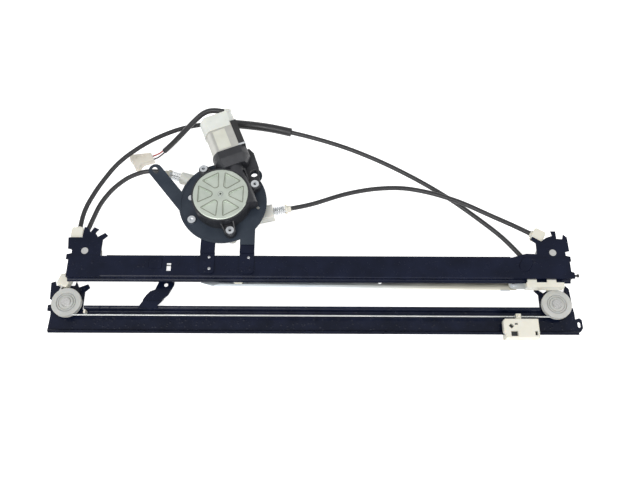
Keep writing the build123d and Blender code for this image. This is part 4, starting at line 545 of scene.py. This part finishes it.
def cover_rim(name, angle):
    """Raised lip around one pocket of the gear cover, at an angle about its centre; its darker finish paints the shade
    along the pocket's outline.
    """
    shape = bmesh.new()
    bmesh.ops.create_grid(shape, x_segments=1, y_segments=1, size=0.5)
    for corner in shape.verts:
        wide = POCKET_WIDE if corner.co.x > 0 else POCKET_NARROW + RIM_WIDTH
        corner.co.x *= (POCKET_DEEP + 2 * RIM_WIDTH) / 1000
        corner.co.y *= (wide + 3 * RIM_WIDTH) / 1000
    bmesh.ops.bevel(shape, geom=list(shape.verts), offset=RIM_CORNER / 1000, segments=3, profile=0.5, affect="VERTICES",
                    material=-1)
    middle = list(shape.faces)
    bmesh.ops.inset_individual(shape, faces=middle, thickness=RIM_WIDTH / 1000)
    bmesh.ops.delete(shape, geom=middle, context="FACES")
    raised = bmesh.ops.extrude_face_region(shape, geom=list(shape.faces), use_keep_orig=True)["geom"]
    bmesh.ops.translate(shape, verts=[part for part in raised if isinstance(part, bmesh.types.BMVert)],
                        vec=(0, 0, RIM_RISE / 1000))
    turn = Matrix.Rotation(angle, 4, "Z") @ Matrix.Translation((POCKET_PITCH_RADIUS / 1000, 0, 0))
    bmesh.ops.transform(shape, matrix=Matrix.Translation(mm(*AXIS, COVER_FACE - 0.05)) @ turn, verts=shape.verts)
    return piece_from(shape, name, "rim", "frame")


for pocket in range(6):
    cover_rim(f"cover_rim_{pocket}", pocket * pi / 3)
lathe("cover_hub_ring", [(2.35, -0.1), (2.35, 0.12), (2.9, 0.12), (2.9, -0.1)], mm(*AXIS, COVER_FACE), (0, 0, 1),
      "weld", "frame")
# painted shade: thin dark discs on the floor of the hub hole and on the screw heads, standing in for the dark inside
# their sockets
HUB_SOCKET_FLOOR = 51.4
SCREW_SOCKET_SHADE_HEIGHT = 41.5
SCREW_SOCKET_SHADE_RADIUS = 1.5
SOCKET_SHADES = [
    ("cover_hub_socket_shade", AXIS, HUB_SOCKET_FLOOR, 1.0),
    ("upper_screw_socket_shade", (-118.5, 54.0), SCREW_SOCKET_SHADE_HEIGHT, SCREW_SOCKET_SHADE_RADIUS),
    ("side_screw_socket_shade", (-63.0, 36.0), SCREW_SOCKET_SHADE_HEIGHT, SCREW_SOCKET_SHADE_RADIUS),
    ("foot_screw_socket_shade", (-86.5, -17.5), SCREW_SOCKET_SHADE_HEIGHT, SCREW_SOCKET_SHADE_RADIUS),
]
for name, place, floor_height, radius in SOCKET_SHADES:
    lathe(name, [(radius, -0.05), (radius, 0.15), (0, 0.15)], mm(*place, floor_height), (0, 0, 1), "moulded", "frame",
          steps=20)

# ---------------------------------------------------------------- painted shade: dark sheets in the lower slider's windows, for the shade and the black rail seen through them
WINDOW_FLOOR = 10.4
WINDOW_SHADE_TOP = 10.65
SLIDER_WINDOW_SHADES = [
    ("slider_window_foot_shade", (199.5, -117.1), (206.4, -117.1), 5.2),
    ("slider_window_end_shade", (223.8, -116.7), (226.4, -116.7), 4.4),
    ("slider_window_top_shade", (204.0, -107.0), (207.0, -107.0), 1.8),
    ("slider_window_diamond_shade", (198.95, -107.85), (201.65, -110.55), 3.8),
]
for name, start, end, wide in SLIDER_WINDOW_SHADES:
    bar_between(name, start, end, wide, WINDOW_FLOOR, (WINDOW_SHADE_TOP, WINDOW_SHADE_TOP), "moulded", "lower_slider",
                bevel=0.05)

# pin of the cable's end in the lower slider
lathe("cable_end_pin", [(1.5, -0.4), (1.5, 0.9), (1.1, 1.3), (0, 1.3)], mm(209.3, -98.4, 11.0), (0, 0, 1),
      "natural", "lower_slider")

# ---------------------------------------------------------------- motor lead
LEAD_ROUTE = [
    mm(-98.5, 120.3, 50), mm(-109.91, 122.9, 50), mm(-122.1, 122.4, 46), mm(-133.4, 116.3, 38.2),
    mm(-145.2, 109.6, 28), mm(-156.2, 104.3, 17.6), mm(-165.3, 100.2, 9.6), mm(-171.7, 97, 5),
]


def make_line(name, route, radius, finish):
    """Round smooth line through space with the route's points as its control points."""
    curve = bpy.data.curves.new(name, "CURVE")
    curve.dimensions = "3D"
    curve.resolution_u = 16
    curve.bevel_depth = radius
    curve.bevel_resolution = 6
    curve.use_fill_caps = True
    spline = curve.splines.new("NURBS")
    spline.points.add(len(route) - 1)
    for point, place in zip(spline.points, route):
        point.co = (*place, 1)
    spline.order_u = 3
    spline.use_endpoint_u = True
    line = bpy.data.objects.new(name, curve)
    scene.collection.objects.link(line)
    line.data.materials.append(FINISH[finish])
    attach(line, "frame")
    return line


motor_lead = make_line("motor_lead", LEAD_ROUTE, 0.003, "conduit")
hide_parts("harness_sleeve")

# ---------------------------------------------------------------- floor and light
floor_shape = bmesh.new()
bmesh.ops.create_grid(floor_shape, x_segments=1, y_segments=1, size=3.0)
bmesh.ops.translate(floor_shape, verts=floor_shape.verts, vec=(0, 0, -0.0002))
floor_mesh = bpy.data.meshes.new("floor")
floor_shape.to_mesh(floor_mesh)
floor_shape.free()
floor = bpy.data.objects.new("floor", floor_mesh)
scene.collection.objects.link(floor)


def seen_directly(tree):
    """Value that is 1 for camera, glossy and transmission rays."""
    path = tree.nodes.new("ShaderNodeLightPath")
    first = tree.nodes.new("ShaderNodeMath")
    first.operation = "MAXIMUM"
    second = tree.nodes.new("ShaderNodeMath")
    second.operation = "MAXIMUM"
    tree.links.new(path.outputs["Is Camera Ray"], first.inputs[0])
    tree.links.new(path.outputs["Is Glossy Ray"], first.inputs[1])
    tree.links.new(first.outputs["Value"], second.inputs[0])
    tree.links.new(path.outputs["Is Transmission Ray"], second.inputs[1])
    return second.outputs["Value"]


FLOOR_GLOW = 0.75      # keeps the floor white under the soft shadows
WORLD_LIGHT = 0.55     # what the surroundings light the part with
WORLD_SEEN = 0.8       # what the camera and glossy surfaces see of them

paper = bpy.data.materials.new("floor_paper")
paper.use_nodes = True
paper_shader = paper.node_tree.nodes["Principled BSDF"]
paper_shader.inputs["Base Color"].default_value = (0.86, 0.86, 0.86, 1)
paper_shader.inputs["Roughness"].default_value = 0.9
paper_shader.inputs["Emission Color"].default_value = (1, 1, 1, 1)
glow = paper.node_tree.nodes.new("ShaderNodeMath")
glow.operation = "MULTIPLY"
glow.inputs[1].default_value = FLOOR_GLOW
paper.node_tree.links.new(seen_directly(paper.node_tree), glow.inputs[0])
paper.node_tree.links.new(glow.outputs["Value"], paper_shader.inputs["Emission Strength"])
floor.data.materials.append(paper)

world = bpy.data.worlds.new("studio")
scene.world = world
world.use_nodes = True
sky = world.node_tree.nodes["Background"]
sky.inputs["Color"].default_value = (1, 1, 1, 1)
strength = world.node_tree.nodes.new("ShaderNodeMapRange")
strength.inputs["To Min"].default_value = WORLD_LIGHT
strength.inputs["To Max"].default_value = WORLD_SEEN
world.node_tree.links.new(seen_directly(world.node_tree), strength.inputs["Value"])
world.node_tree.links.new(strength.outputs["Result"], sky.inputs["Strength"])


def make_panel_light(name, place, aim, size, power):
    """Soft rectangular lamp that points at a place."""
    data = bpy.data.lights.new(name, "AREA")
    data.shape = "RECTANGLE"
    data.size, data.size_y = size
    data.energy = power
    lamp = bpy.data.objects.new(name, data)
    lamp.location = place
    lamp.rotation_mode = "QUATERNION"
    lamp.rotation_quaternion = (aim - place).to_track_quat("-Z", "Y")
    scene.collection.objects.link(lamp)


make_panel_light("key", Vector((-0.5, -0.55, 1.1)), Vector((0, 0, 0)), (0.9, 0.6), 9)
make_panel_light("strip", Vector((0, -1.3, 0.5)), Vector((0, 0, 0)), (1.8, 0.25), 5)
make_panel_light("side", Vector((0.9, -0.4, 0.8)), Vector((0, 0, 0)), (0.6, 0.6), 4)

scene.view_settings.view_transform = "Standard"
